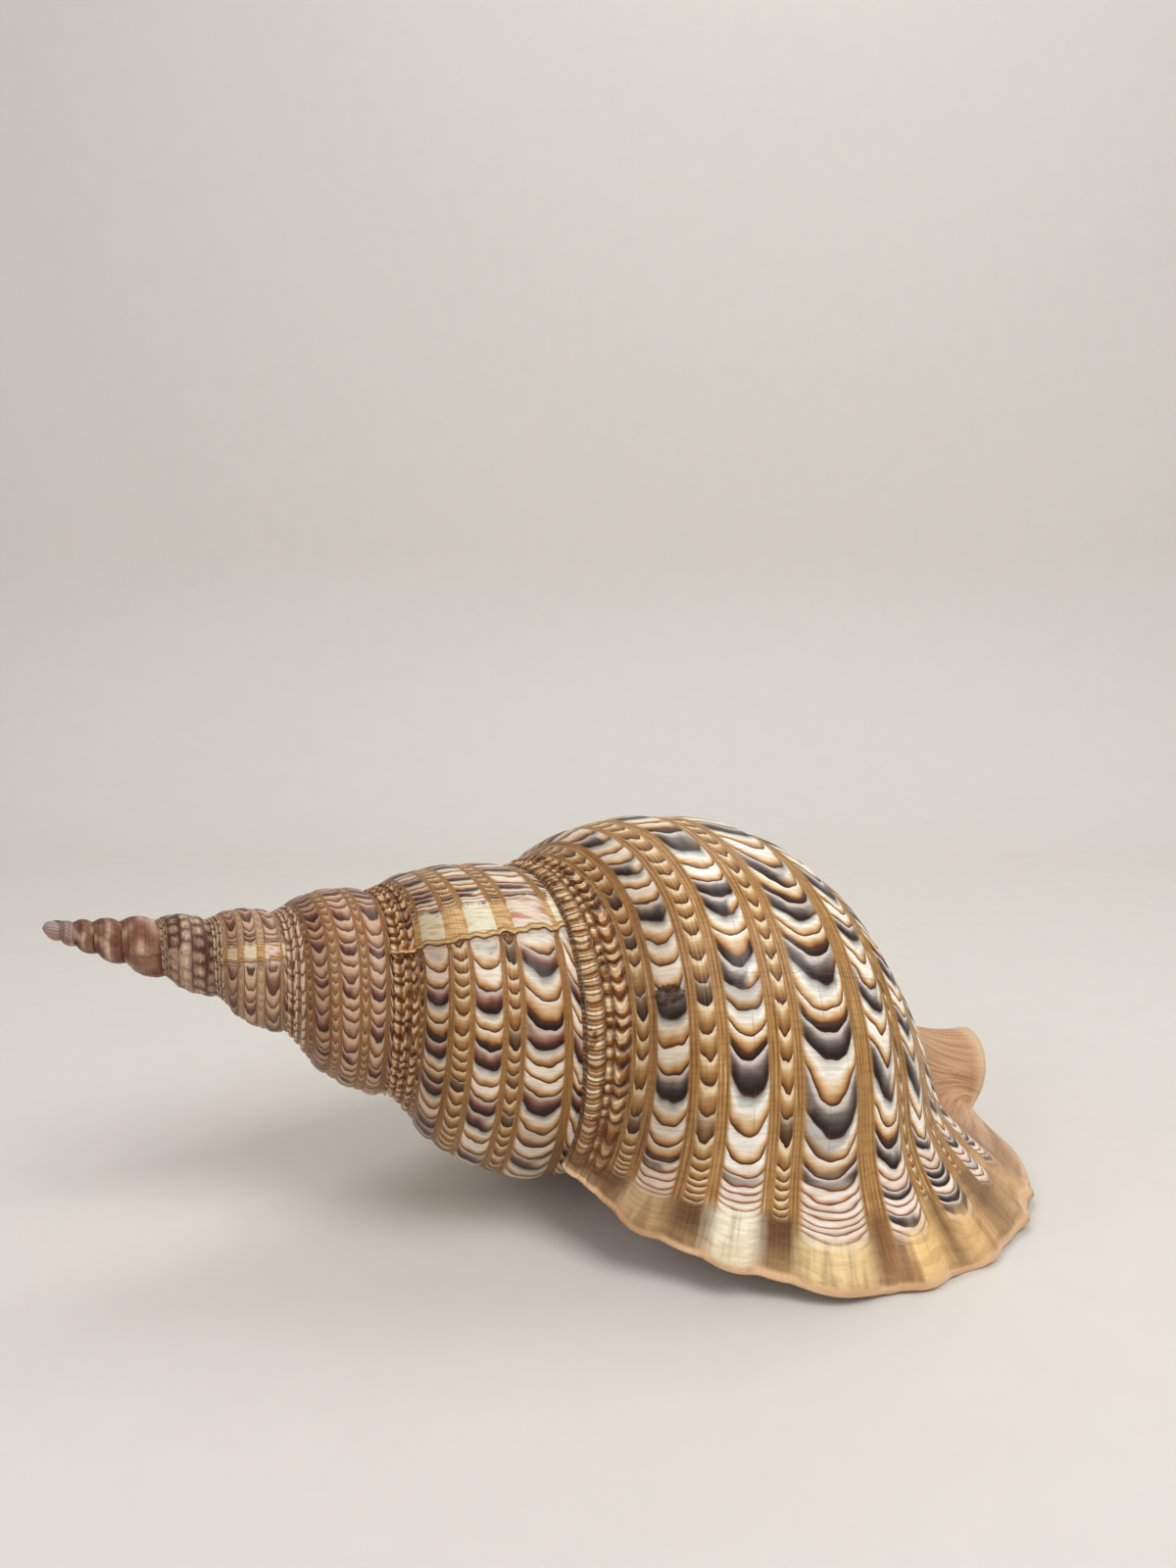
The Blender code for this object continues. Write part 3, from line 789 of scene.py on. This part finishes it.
class Wiring:
    """Adds nodes to one tree. Inputs are values, numbers, or colours as shade takes them."""

    def __init__(self, tree):
        self.tree = tree

    def node(self, kind, *inputs, **settings):
        made = self.tree.nodes.new(kind)
        for name, value in settings.items():
            setattr(made, name, value)
        for socket, value in zip(made.inputs, inputs):
            self.give(socket, value)
        return made

    def give(self, socket, value):
        if isinstance(value, Value):
            self.tree.links.new(value.socket, socket)
        else:
            socket.default_value = shade(value) if isinstance(value, (str, tuple)) else value

    def values(self, node):
        return [Value(self, socket) for socket in node.outputs]

    def math(self, operation, *inputs):
        return self.values(self.node("ShaderNodeMath", *inputs, operation=operation))[0]

    def largest(self, values):
        """The largest of the values and 0."""
        most = 0.0
        for value in values:
            most = self.math("MAXIMUM", most, value)
        return most

    def mix(self, factor, first, second, blend="MIX"):
        """The first colour at 0 and the second, or their product, at 1."""
        made = self.node("ShaderNodeMix", data_type="RGBA", blend_type=blend)
        for place_in, value in ((0, factor), (6, first), (7, second)):
            self.give(made.inputs[place_in], value)
        return Value(self, made.outputs[2])

    def layers(self, surface, *coats):
        """The surface under its coats, each (mask, colour) or (mask, colour, blend)."""
        for mask, colour, *blend in coats:
            surface = self.mix(mask, surface, colour, *blend)
        return surface

    def ramp(self, value, name):
        """The named ramp's colour where the value lies."""
        made = self.node("ShaderNodeValToRGB", value)
        elements = made.color_ramp.elements
        while len(elements) < len(RAMPS[name]):
            elements.new(1.0)
        for element, (where, colour) in zip(elements, RAMPS[name]):
            element.position, element.color = where, shade(colour)
        return self.values(made)[0]

    def noise(self, vector, size, detail, rough, dimensions="3D"):
        made = self.node("ShaderNodeTexNoise", noise_dimensions=dimensions)
        for name, value in (("Vector", vector), ("Scale", size), ("Detail", detail), ("Roughness", rough)):
            self.give(made.inputs[name], value)
        return Value(self, made.outputs["Fac"])

    def noise_2d(self, x, y, detail=2.0, rough=0.5):
        """Noise over two values, about one wave to a unit of each."""
        return self.noise(self.vector(x, y), 1.0, detail, rough, "2D")

    def vector(self, x, y):
        return self.values(self.node("ShaderNodeCombineXYZ", x, y, 0.0))[0]

    def uv(self, name):
        """The two values of the surface's UV map."""
        both = self.values(self.node("ShaderNodeUVMap", uv_map=name))[0]
        return self.values(self.node("ShaderNodeSeparateXYZ", both))[:2]

    def spot(self):
        """The point in the object's own space."""
        return Value(self, self.node("ShaderNodeTexCoord").outputs["Object"])

    def group(self, name, *inputs):
        """The outputs of a node of the group."""
        tree = bpy.data.node_groups[name]
        return self.values(self.node("ShaderNodeGroup", *inputs, node_tree=tree))

    def close(self, colour, roughness, height, relief_size):
        """The bump, the Principled shader and the material's output; returns the shader."""
        bump = self.node("ShaderNodeBump")
        bump.inputs["Strength"].default_value = BUMP_STRENGTH
        bump.inputs["Distance"].default_value = relief_size
        self.give(bump.inputs["Height"], height)
        shader = self.node("ShaderNodeBsdfPrincipled")
        self.give(shader.inputs["Base Color"], colour)
        self.give(shader.inputs["Roughness"], roughness)
        self.give(shader.inputs["Normal"], self.values(bump)[0])
        self.node("ShaderNodeOutputMaterial", self.values(shader)[0])
        return shader


def new_material(name):
    """An empty node material, and the wiring of its tree."""
    material = bpy.data.materials.new(name)
    material.use_nodes = True
    material.node_tree.nodes.clear()
    return material, Wiring(material.node_tree)


def cord_reading(wire, across):
    """Where a point lies on the cords: for each set, the cord's number (0 off the cords) and the
    place across it from -1 to 1. Main cords add how far their crescents' middles lead, and how
    flat these are."""
    read = []
    for cords in (MAIN_CORDS, SMALL_CORDS):
        totals = [0.0] * (len(cords[0]) - 1)
        for i, (middle, half, _, *shape) in enumerate(cords):
            p = across * (1 / half) - middle / half
            inside = abs(p) < 1.0
            totals = [inside * value + total for value, total in zip((i + 1.0, p, *shape), totals)]
        read += totals
    return read


def crescents(wire, count, cord, place_across, lead, flatness):
    """Crescents along one cord: how far through its crescent a point is, how dark that crescent
    is in the run of dark and light ones, a random value for it, and a mask of its dark patch.

    The count is held back off the cord's middle, so each line is an arc, and noise bends it.
    """
    seed = cord * CORD_SEED
    slow = wire.noise_2d(count * 0.30, seed, 0.0)
    fast = wire.noise_2d(count * 0.9, place_across * 1.1 + seed, 1.1)
    warped = abs(place_across) ** flatness * lead + count + slow + fast * (lead * 0.26 + 0.28)
    cell = warped.floor()
    white = wire.node("ShaderNodeTexWhiteNoise", wire.vector(cell, seed), noise_dimensions="2D")
    colour = Value(wire, white.outputs["Color"])
    jitter, chance, side = wire.values(wire.node("ShaderNodeSeparateColor", colour))
    order = cell * 0.33 + wire.noise_2d(cell * 0.05, seed, 0.0) * 1.6 + jitter * 0.14
    lean = (side - 0.5) * 2.0 * (fast * 0.8 + place_across)
    return warped.fract(), order.fract(), chance, lean.rise(0.75, 0.25)


def fine_wear(wire, depth):
    """Fine wear that the outside and the mouth share: a speckle mask, and pits of a given depth."""
    spot = wire.spot()
    rare = wire.noise(spot, 60.0, 2.0, 0.5) * 0.5 + wire.noise(spot, 900.0, 2.0, 0.6)
    return rare.rise(1.02, 1.10), wire.noise(spot, 1500.0, 3.0, 0.7) * depth


GROUPS = (
    ("Cord reading", cord_reading, ("Across",),
     ("Main cord", "Main place", "Lead", "Flatness", "Small cord", "Small place")),
    ("Crescents", crescents, ("Count", "Cord", "Place", "Lead", "Flatness"),
     ("Through", "Order", "Chance", "Patch")),
    ("Fine wear", fine_wear, ("Depth",), ("Specks", "Pits")),
)


def build_groups():
    """The shader node groups, all of float sockets, each wired up by its function."""
    for name, wired, inputs, outputs in GROUPS:
        tree = bpy.data.node_groups.new(name, "ShaderNodeTree")
        for sockets, way in ((inputs, "INPUT"), (outputs, "OUTPUT")):
            for socket in sockets:
                tree.interface.new_socket(socket, in_out=way, socket_type="NodeSocketFloat")
        wire = Wiring(tree)
        source = wire.values(wire.node("NodeGroupInput"))[: len(inputs)]
        wire.node("NodeGroupOutput", *wired(wire, *source))


def colour_property(name, description, shown):
    """A colour for the panel, given as red, green, blue in 0 to 255."""
    return FloatVectorProperty(
        name=name, description=description, subtype="COLOR", size=4, min=0.0, max=1.0, default=shade(shown)
    )


class TritonShape(bpy.types.PropertyGroup):
    cord_height: FloatProperty(
        name="Cord height", description="Height of the cords, as a share of the usual", default=1.0, min=0.0
    )


class TritonColours(bpy.types.PropertyGroup):
    white: colour_property("White", "Fresh part of a crescent", (250, 243, 233))
    cream: colour_property("Cream", "Where a crescent starts to darken", (232, 204, 164))
    golden: colour_property("Golden", "Golden line before a crescent's edge", (190, 138, 80))
    amber: colour_property("Amber", "Deeper gold on the beads", (152, 104, 50))
    brown: colour_property("Brown", "Edge of a crescent", (92, 52, 24))
    dark: colour_property("Dark", "Darkest band of a dark crescent", (32, 20, 16))
    plum: colour_property("Plum", "Purple grey before the darkest band", (74, 58, 54))
    slate: colour_property("Slate", "Upper part of a dark crescent", (122, 114, 108))
    mist: colour_property("Mist", "Pale grey that follows a dark crescent", (186, 188, 180))
    blush: colour_property("Blush", "Start of a dark crescent", (212, 198, 188))
    tan: colour_property("Tan", "Between the cords", (178, 134, 79))
    deep_tan: colour_property("Deep tan", "Threads between the cords", (134, 92, 46))
    peach: colour_property("Peach", "Lip's edge and the mouth", (232, 190, 148))
    brown_wash: colour_property("Brown wash", "Tint over the whorl before the last", (236, 228, 221))
    pink_wash: colour_property("Pink wash", "Tint over the older whorls", (250, 238, 232))
    rose: colour_property("Rose", "Smallest whorls", (150, 104, 86))
    lilac: colour_property("Lilac", "Worn tip", (192, 170, 168))


def outside_values(wire):
    """What the outside's colours depend on: growth, the cords, old lips, and noises over them."""
    m = SimpleNamespace()
    m.grown, m.across = wire.uv("growth")
    m.main_count, m.small_count = wire.uv("bands")
    m.phase, _ = wire.uv("beads")
    read = wire.group("Cord reading", m.across)
    m.main_cord, m.main_place, m.lead, m.flatness, m.small_cord, m.small_place = read
    m.on_main, m.on_small = m.main_cord > 0.5, m.small_cord > 0.5
    m.on_third = m.main_cord.math("COMPARE", 3.0, 0.5)
    m.side = abs(m.main_place)
    for name, ends in GROWTH_MASKS.items():
        setattr(m, name, m.grown.rise(*ends))
    m.in_crimp = m.across.rise(CRIMP_END + 0.004, CRIMP_END - 0.004)
    for name, (along_rate, across_rate, *kind) in NOISES.items():
        setattr(m, name, wire.noise_2d(m.grown * along_rate, m.across * across_rate, *kind))

    since = m.across * VARIX_SLANT + m.grown - VARIX_TURN
    for size, rate in VARIX_BENDS:
        since = since + (m.across * rate + 1.0).sine() * size
    m.gone = (since * (1 / VARIX_EVERY)).fract() * VARIX_EVERY
    m.left = VARIX_EVERY - m.gone
    m.old = m.grown < NEWEST_VARIX_END
    return m


def main_cord_colour(wire, m):
    """Crescents of the main cords: light, brown or dark in runs, more even on the older whorls."""
    rounder = m.older * m.main_cord.math("COMPARE", 1.5, 0.6)
    rounder = m.newest * m.main_cord.math("COMPARE", 2.0, 0.5) + rounder
    lead = m.lead + rounder * 0.16 - (1.0 - m.newest) * m.on_third * 0.5
    flatness = m.flatness - rounder * 0.9
    m.through, order, chance, patch = wire.group(
        "Crescents", m.main_count, m.main_cord, m.main_place, lead, flatness
    )
    names = ("light", "brown", "after dark", "dark", "old dark", "old light", "thin")
    light, brown, after_dark, dark, old_dark, old_light, thin = (wire.ramp(m.through, n) for n in names)
    by_lip = m.all_light * (m.main_cord < 3.5)
    return wire.layers(
        after_dark,
        (order.rise(0.64, 0.72), wire.mix(chance.rise(0.60, 0.68), light, brown)),
        (m.older * 0.85, old_light),
        (m.thinned * 0.75, thin),
        (order.rise(0.42, 0.36) * patch * (1.0 - by_lip), wire.mix(m.reddened, dark, old_dark)),
        (m.side.rise(0.78, 0.96), "tan"),
        # painted shade: a brown line at each main cord's edge, where it meets the groove beside it
        (m.side.rise(0.92, 1.0) * 0.55, "brown"),
    )


def small_cord_colour(wire, m):
    """Crescents of the small cords, with rare dark ones."""
    m.small_through, order, *_ = wire.group(
        "Crescents", m.small_count, m.small_cord, m.small_place, 0.42, 2.0
    )
    order = order - (m.small_cord < 1.5) * 0.20
    return wire.layers(
        wire.ramp(m.small_through, "small light"),
        (order.rise(0.09, 0.04) * m.before_lip, wire.ramp(m.small_through, "small dark")),
        (abs(m.small_place).rise(0.70, 1.0), "tan"),
    )


def bead_colour(wire, m):
    """Crimped cords under the suture: each bead pale at its start and brown at its end, with ribs, painted
    shade in the rib gaps and between the cords, and a painted highlight on the older beads' tops.
    """
    first_end, third_start = (start for start, _ in BEAD_SHIFTS)
    through = m.phase.fract()
    m.bead = (through * math.pi).sine()
    sides = []
    for cords in (OLD_CRIMPED_CORDS, CRIMPED_CORDS):
        offs = [abs(m.across * (1 / half) - middle / half) for middle, half, _ in cords]
        sides.append(wire.largest(1.0 - off for off in offs))
    m.crimp = (sides[0] + (sides[1] - sides[0]) * m.newer).rise(0.0, 0.5)
    m.striae = wire.noise_2d(m.phase * 5.2, m.across * 14.0)
    on_first = m.across < first_end
    tone = (m.striae - 0.5) * 0.40 + through
    tone = (0.42 - tone) * on_first * m.newer * 0.38 + tone
    ribs = ((m.striae * 0.55 + m.phase * 3.0) * (2 * math.pi)).sine()
    m.rib_gap = ribs.rise(0.1, -0.8) * (on_first * 0.50 + 0.30) * (m.newer * 0.65 + 0.35)
    darker = m.blotch - (m.across > third_start) * 0.09
    return wire.layers(
        wire.ramp(tone, "pale bead"),
        (darker.rise(0.40, 0.30), wire.ramp(tone, "dark bead")),
        # painted shade: dark brown in the gaps between the ribs
        (m.rib_gap, (84, 46, 18)),
        (m.older * 0.32, (210, 182, 148)),
        # painted highlight: the tops of the older beads are lightened to near white
        (m.bead.rise(0.30, 0.75) * m.older * 0.70, (255, 248, 234)),
        (m.near_lip * 0.55, (150, 108, 66)),
        # painted shade: brown off the crimped cords' crests, in the grooves between them
        (m.crimp * -0.7 + 0.7, (104, 66, 34)),
        (m.older * -0.7 + 1.0, (240, 220, 196), "MULTIPLY"),
    )


def with_lips(wire, m, base):
    """The lip, cream and gold in line with the cords, cream bands at the old lips' crests, and a painted
    shadow line just after each crest.
    """
    lip = wire.layers(
        wire.ramp((m.flutes - 0.5) * 0.03 + m.across * 0.5, "lip"),
        (m.to_rim * 0.4, (222, 184, 134)),
        (m.flutes.rise(0.54, 0.30) * 0.38, (112, 74, 42)),
    )
    into_lip = m.flutes * 0.003 + m.grown - (m.main_cord > 2.5) * 0.007
    m.in_lip = into_lip.rise(LIP_TURN - BARE_LIP - 0.006, LIP_TURN - BARE_LIP + 0.002)
    band = ((m.flutes - 0.5) * 0.035 + m.left).rise(0.051, 0.040) * m.old
    band = band * m.across.rise(CRIMP_END, CRIMP_END + 0.01)
    bare = wire.mix(m.lines.rise(0.54, 0.72), (240, 240, 216), "cream")
    blushed = wire.mix(m.broad.rise(0.46, 0.66), (242, 230, 216), (204, 150, 122))
    striped = wire.mix(m.lines.rise(0.40, 0.66), (230, 196, 142), (206, 164, 106))
    old_lip = wire.mix(m.on_main, striped, wire.mix(m.on_third, bare, blushed))
    crest = wire.mix(m.left.rise(0.0022, 0.0048), (240, 208, 150), "golden")
    return wire.layers(
        base,
        (m.in_lip, lip),
        (band, old_lip),
        (m.gone.rise(0.020, 0.006) * m.old * m.on_main * 0.8, "white"),
        (m.left.rise(0.0070, 0.0048) * m.old, crest),
        # painted shadow: a thin brown line just after each old lip's crest, where the step casts its shade
        (m.gone.rise(0.0026, 0.0004) * m.old, "brown"),
    )


# The mended break: its turn and place with half its size in each, and the crack beside it
SCAR_TURN, SCAR_TURNS, SCAR_AT, SCAR_HALF, CRACK_TURN = -0.1015, 0.0085, 0.245, 0.05, -0.1075
GROOVES_AT = (0.500, 0.757, 0.832)


def with_damage(wire, m, surface):
    """A mended break in the newest whorl, a crack that runs on from it, and fine grooves."""
    along, aside = (m.grown - SCAR_TURN) * (1 / SCAR_TURNS), (m.across - SCAR_AT) * (1 / SCAR_HALF)
    m.scar = ((m.ragged - 0.5) * 2.2 + (along * along + aside * aside)).rise(1.0, 0.5)
    mended = wire.mix(m.ragged.rise(0.40, 0.72), "dark", (128, 92, 58))
    wander = wire.noise_2d(m.across * 9.0, 3.0, 3.0, 0.6)
    crack = abs(wander * 0.012 + (m.grown - CRACK_TURN)).rise(0.0007, 0.0002)
    crack = crack * m.across.rise(0.40, 0.46) * m.across.rise(1.12, 1.04)
    groove = wire.largest(abs(m.across - middle).rise(0.0022, 0.0006) for middle in GROOVES_AT)
    groove = groove * m.blotch.rise(0.42, 0.55) * m.grown.rise(-0.32, -0.26) * m.grown.rise(0.03, 0.02)
    return wire.layers(
        surface, (m.scar * 0.9, mended), (wire.largest((crack, groove)) * 0.45, (96, 80, 64))
    )


def with_ends(wire, m, surface):
    """The plain, finely ridged neck, the reddening spire with rows of knobs, and the worn tip."""
    m.on_neck = m.across.rise(1.50, 1.56)
    neck = wire.layers(
        wire.mix(m.ridges.rise(0.34, 0.64), (184, 138, 100), (216, 174, 134)),
        (m.across.rise(1.80, 1.54) * 0.4, (146, 98, 64)),
        (m.across.rise(1.94, 2.0), (232, 202, 164)),
    )
    row = m.clouds + m.across * 4.4
    knob = m.blotch * 0.6 + (row.floor() * 0.5 + m.grown * 17.0)
    m.knobs = (row.fract() * math.pi).sine() * (knob.fract() * math.pi).sine()
    # the knobs' tops lighter and the gaps between them darker: painted highlight and shade, over the
    # spire's own clouded colour
    tone = m.clouds * 1.1 + (m.knobs * 0.4 - 0.44)
    knobbed = wire.mix(tone.rise(0.0, 0.60), (78, 44, 28), (214, 182, 154))
    knobbed = wire.mix(m.blotch.rise(0.50, 0.62) * 0.40, knobbed, (116, 68, 50))
    return wire.layers(
        surface,
        (m.on_neck, neck),
        (m.browned, "brown_wash", "MULTIPLY"),
        (m.pinked, "pink_wash", "MULTIPLY"),
        (m.in_knobs * m.across.rise(0.08, 0.14), knobbed),
        # the smooth tip: its own rose and brown, with painted highlights in cream
        (m.worn_tip, wire.ramp(m.clouds, "worn")),
        (m.bleached_tip * 0.85, "lilac"),
        (m.at_rim, "peach"),
    )


def outside_material():
    """Crescents on the cords, threads between them, beads at the suture, and the lip's colours."""
    material, wire = new_material("ribbed_outside")
    m = outside_values(wire)
    threads = (m.across * (2 * math.pi * THREADS)).sine()
    surface = wire.layers(
        wire.ramp(threads * 0.18 + m.streaks, "between"),
        (m.on_small, small_cord_colour(wire, m)),
        (m.on_main, main_cord_colour(wire, m)),
        (m.older * (m.on_main * -0.25 + 0.35), (176, 146, 118)),
        (m.oldest * (m.on_main * -0.36 + 0.42), (240, 222, 192)),
        # painted shade: the sides of the main cords on the oldest whorls are darkened, as the gaps between
        # the cords are shaded
        (m.side.rise(0.78, 1.0) * m.oldest * m.on_main * 0.75, (74, 40, 22)),
        (m.in_crimp, bead_colour(wire, m)),
    )
    surface = with_ends(wire, m, with_damage(wire, m, with_lips(wire, m, surface)))
    specks, pits = wire.group("Fine wear", OUTSIDE_PITS)
    surface = wire.layers(
        surface,
        (m.lines.rise(0.46, 0.60), (240, 236, 231), "MULTIPLY"),
        # painted shade: a band under the suture, over the first small and main cords, is darkened
        (m.across.rise(0.38, 0.28) * m.across.rise(0.10, 0.16), (222, 212, 202), "MULTIPLY"),
        (specks * 0.7, "dark"),
    )
    height = (m.through * m.on_main + m.small_through * m.on_small) * 0.9 * (m.older + 1.0) + pits
    for mask, amount in (
        (threads * (1.0 - m.on_main), 0.22),
        (m.fine_lines, 0.35),
        (m.bead * m.crimp * m.in_crimp, 1.4),
        (m.striae * m.crimp * m.in_crimp, 1.2),
        (m.rib_gap * m.in_crimp, -1.1),
        (m.left.rise(0.0085, 0.0015) * m.old, 4.0),
        (m.knobs * m.in_knobs, 2.2),
        (m.scar, -1.5),
        (m.ridges * m.on_neck, 1.6),
        (m.flutes * m.in_lip, 0.9),
        (m.lines * m.in_lip, 0.5),
    ):
        height = height + mask * amount
    roughness = m.streaks * 0.20 + 0.24 - m.shinier_tip * 0.10
    shader = wire.close(surface, roughness, height, OUTSIDE_RELIEF)
    shader.inputs["Specular IOR Level"].default_value = 0.30
    return material


def mouth_material():
    """Glossy inside: white near the lip, orange and then pale further in, ridged on the columella."""
    material, wire = new_material("glazed_mouth")
    _, across = wire.uv("growth")
    _, depth = wire.uv("mouth")
    _, pits = wire.group("Fine wear", MOUTH_PITS)
    blotch = wire.noise_2d(depth * 12.0, across * 9.0, 3.0)

    # just inside the lip, pairs of white teeth stand on brown patches in line with the grooves
    in_pair = abs((blotch * 0.25 + across * TEETH_PAIRS).fract() - 0.5)
    on_wall = across.rise(0.16, 0.20) * across.rise(1.60, 1.50)
    patch = in_pair.rise(0.34, 0.26) * depth.rise(0.004, 0.010) * depth.rise(0.036, 0.028) * on_wall
    tooth = in_pair.rise(0.03, 0.09) * in_pair.rise(0.21, 0.15) * on_wall
    tooth = tooth * depth.rise(0.006, 0.012) * depth.rise(0.050, 0.036)

    # the columella: white ridges on dark brown, uneven in width
    uneven = blotch * 2.2 + wire.noise_2d(across * 9.0, depth, 1.0) * 9.0
    folds = (across * (2 * math.pi * COLUMELLA_RIDGES) + uneven).sine()
    on_columella = across.rise(2.06, 2.12) * depth.rise(0.9, 0.5)
    colour = wire.layers(
        wire.ramp(depth, "mouth"),
        (patch * 0.85, (88, 50, 30)),
        (tooth, "white"),
        (on_columella, wire.mix(folds.rise(0.0, 0.4), (70, 38, 24), (248, 236, 218))),
    )
    height = folds.rise(-0.8, 0.8) * on_columella + tooth * 1.6 + pits
    wire.close(colour, blotch * 0.12 + 0.14, height, MOUTH_RELIEF)
    return material


def smooth_mesh(name, points, faces):
    """A smooth-shaded mesh from arrays of points and of faces."""
    mesh = bpy.data.meshes.new(name)
    mesh.from_pydata(points.reshape(-1, 3).tolist(), [], faces.tolist())
    mesh.polygons.foreach_set("use_smooth", np.ones(len(faces), bool))
    return mesh


def put(name, data):
    """An object of the data, linked to the scene."""
    made = bpy.data.objects.new(name, data)
    bpy.context.scene.collection.objects.link(made)
    return made


def resting_shift(points):
    """How far the shell moves so that its box stands as the solid's does, on the floor."""
    grown = np.linspace(LIP_TURN - 1.5, LIP_TURN, 400)[:, None]
    at = np.concatenate([WHORL_ROWS, BASE_ROWS])[None, :]
    plain = place(*skin(grown, at, bumpy=0.0)).reshape(-1, 3)
    tip = place(0.0, 0.0, suture(LIP_TURN - TURNS)[1] * APEX_TIP)
    plain = np.vstack([plain, tip])
    middle = (plain.min(0) + plain.max(0)) / 2
    return np.array([middle[0], middle[1], points[:, 2].min()])


class TRITON_OT_shell(bpy.types.Operator):
    """Build the whole shell as one closed surface, with its outside and its glazed mouth"""

    bl_idname = "triton.shell"
    bl_label = "Shell"

    def execute(self, context):
        points, triangles, corners = shell_surface()
        shift = resting_shift(points)
        context.scene["axis_start"] = (-shift).tolist()
        mesh = smooth_mesh("triton_shell", points - shift, triangles)
        flat = corners.reshape(-1, 4)
        bands = np.stack(band_counts(flat[:, 0], flat[:, 1]), -1)
        beads = np.stack([bead_phase(flat[:, 0], flat[:, 1]), np.zeros(len(flat))], -1)
        layers = (("growth", flat[:, :2]), ("bands", bands), ("beads", beads), ("mouth", flat[:, 2:]))
        for name, values in layers:
            mesh.uv_layers.new(name=name).data.foreach_set("uv", values.astype(np.float32).ravel())
        inside = (corners[:, :, 2].min(1) > INSIDE_FROM).astype(np.int32)
        build_groups()
        mesh.materials.append(outside_material())
        mesh.materials.append(mouth_material())
        mesh.polygons.foreach_set("material_index", inside)
        mesh.update()
        shell = put("triton_shell", mesh)
        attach(shell, "root")
        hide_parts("shell")
        return {"FINISHED"}


CAMERA_TURN, CAMERA_PITCH = math.radians(17.5), math.radians(8.0)
CAMERA_RIGHT, CAMERA_DOWN = -0.4831, 0.1199      # the axis's start seen from the camera, in units
LENS, SENSOR = 27.0, 36.0
LAMPS_AIM = Vector((0, 0, 0.06))
LAMPS = (                   # (name, to the right, away, up, size, watts)
    ("key", 0.8, -0.9, 1.6, 1.1, 24.0),
    ("fill", -1.4, -1.0, 1.0, 1.4, 9.0),
    ("back", 0.2, 0.9, 1.7, 1.0, 10.0),
)


class TRITON_OT_stage(bpy.types.Operator):
    """Set the floor with its backdrop, the lamps, the world and the camera"""

    bl_idname = "triton.stage"
    bl_label = "Stage"

    def execute(self, context):
        along = np.array([math.sin(CAMERA_TURN), math.cos(CAMERA_TURN), 0.0])
        right = np.array([math.cos(CAMERA_TURN), -math.sin(CAMERA_TURN), 0.0])
        up = np.array([0.0, 0.0, 1.0])
        forward = math.cos(CAMERA_PITCH) * along - math.sin(CAMERA_PITCH) * up
        down = -math.cos(CAMERA_PITCH) * up - math.sin(CAMERA_PITCH) * along
        start = np.array(context.scene["axis_start"])
        eye = start - UNIT * (CAMERA_RIGHT * right + CAMERA_DOWN * down + forward)
        data = bpy.data.cameras.new("camera")
        data.lens, data.sensor_fit, data.clip_start = LENS, "VERTICAL", 0.01
        data.sensor_width = data.sensor_height = SENSOR
        camera = context.scene.camera = put("camera", data)
        turn = Matrix((right, -down, -forward)).transposed()
        camera.matrix_world = Matrix.Translation(Vector(eye)) @ turn.to_4x4()

        self.sweep(along, right)
        for name, side, out, height, size, power in LAMPS:
            lamp = bpy.data.lights.new(name, "AREA")
            lamp.size, lamp.energy = size, power
            spot = Vector(side * right + out * along + height * up)
            aim = (LAMPS_AIM - spot).to_track_quat("-Z", "Y")
            put(name, lamp).matrix_world = Matrix.Translation(spot) @ aim.to_matrix().to_4x4()

        world = bpy.data.worlds.new("soft_room")
        world.use_nodes = True
        background = world.node_tree.nodes["Background"]
        background.inputs[0].default_value = (1.0, 0.985, 0.965, 1.0)
        background.inputs[1].default_value = 0.36
        context.scene.world = world
        context.scene.view_settings.view_transform = "Standard"
        return {"FINISHED"}

    def sweep(self, along, right):
        """A floor that curves up into a wall: a flat run, a quarter circle and an upright."""
        reach, bend, wall = 0.75, 0.35, 2.4
        angle = np.linspace(0, math.pi / 2, 24)
        out = np.concatenate([[-3.0, 0.0], reach + bend * np.sin(angle), [reach + bend]])
        height = np.concatenate([[0.0, 0.0], bend * (1 - np.cos(angle)), [wall]])
        sides = np.linspace(-3.0, 3.0, 3)
        grid = out[:, None, None] * along + sides[None, :, None] * right
        grid[..., 2] = height[:, None]
        index = np.arange(len(out) * len(sides)).reshape(len(out), -1)
        mesh = smooth_mesh("floor", grid, np.stack(cells(index), -1).reshape(-1, 4))
        material = bpy.data.materials.new("pale_floor")
        material.use_nodes = True
        wire = Wiring(material.node_tree)
        shader = wire.tree.nodes["Principled BSDF"]
        grain = wire.noise(wire.spot(), 40.0, 3.0, 0.6)
        wire.give(shader.inputs["Base Color"], wire.mix(grain, (214, 210, 203), (219, 215, 208)))
        shader.inputs["Roughness"].default_value = 0.75
        mesh.materials.append(material)
        floor = put("floor", mesh)


class TRITON_PT_panel(bpy.types.Panel):
    """Buttons and values for the triton shell"""

    bl_idname = "TRITON_PT_panel"
    bl_label = "Triton shell"
    bl_space_type = "VIEW_3D"
    bl_region_type = "UI"
    bl_category = "Triton"

    def draw(self, context):
        column = self.layout.column()
        column.prop(context.scene.triton_shape, "cord_height")
        for name in TritonColours.__annotations__:
            column.prop(context.scene.triton_colours, name)
        for operator in OPERATORS:
            column.operator(operator.bl_idname)


OPERATORS = (TRITON_OT_shell, TRITON_OT_stage)
CLASSES = (TritonShape, TritonColours, *OPERATORS, TRITON_PT_panel)


def register():
    for one in CLASSES:
        bpy.utils.register_class(one)
    bpy.types.Scene.triton_shape = PointerProperty(type=TritonShape)
    bpy.types.Scene.triton_colours = PointerProperty(type=TritonColours)


def unregister():
    del bpy.types.Scene.triton_colours
    del bpy.types.Scene.triton_shape
    for one in reversed(CLASSES):
        bpy.utils.unregister_class(one)


def main():
    register()
    bpy.ops.triton.shell()
    bpy.ops.triton.stage()


if __name__ == "__main__":
    main()
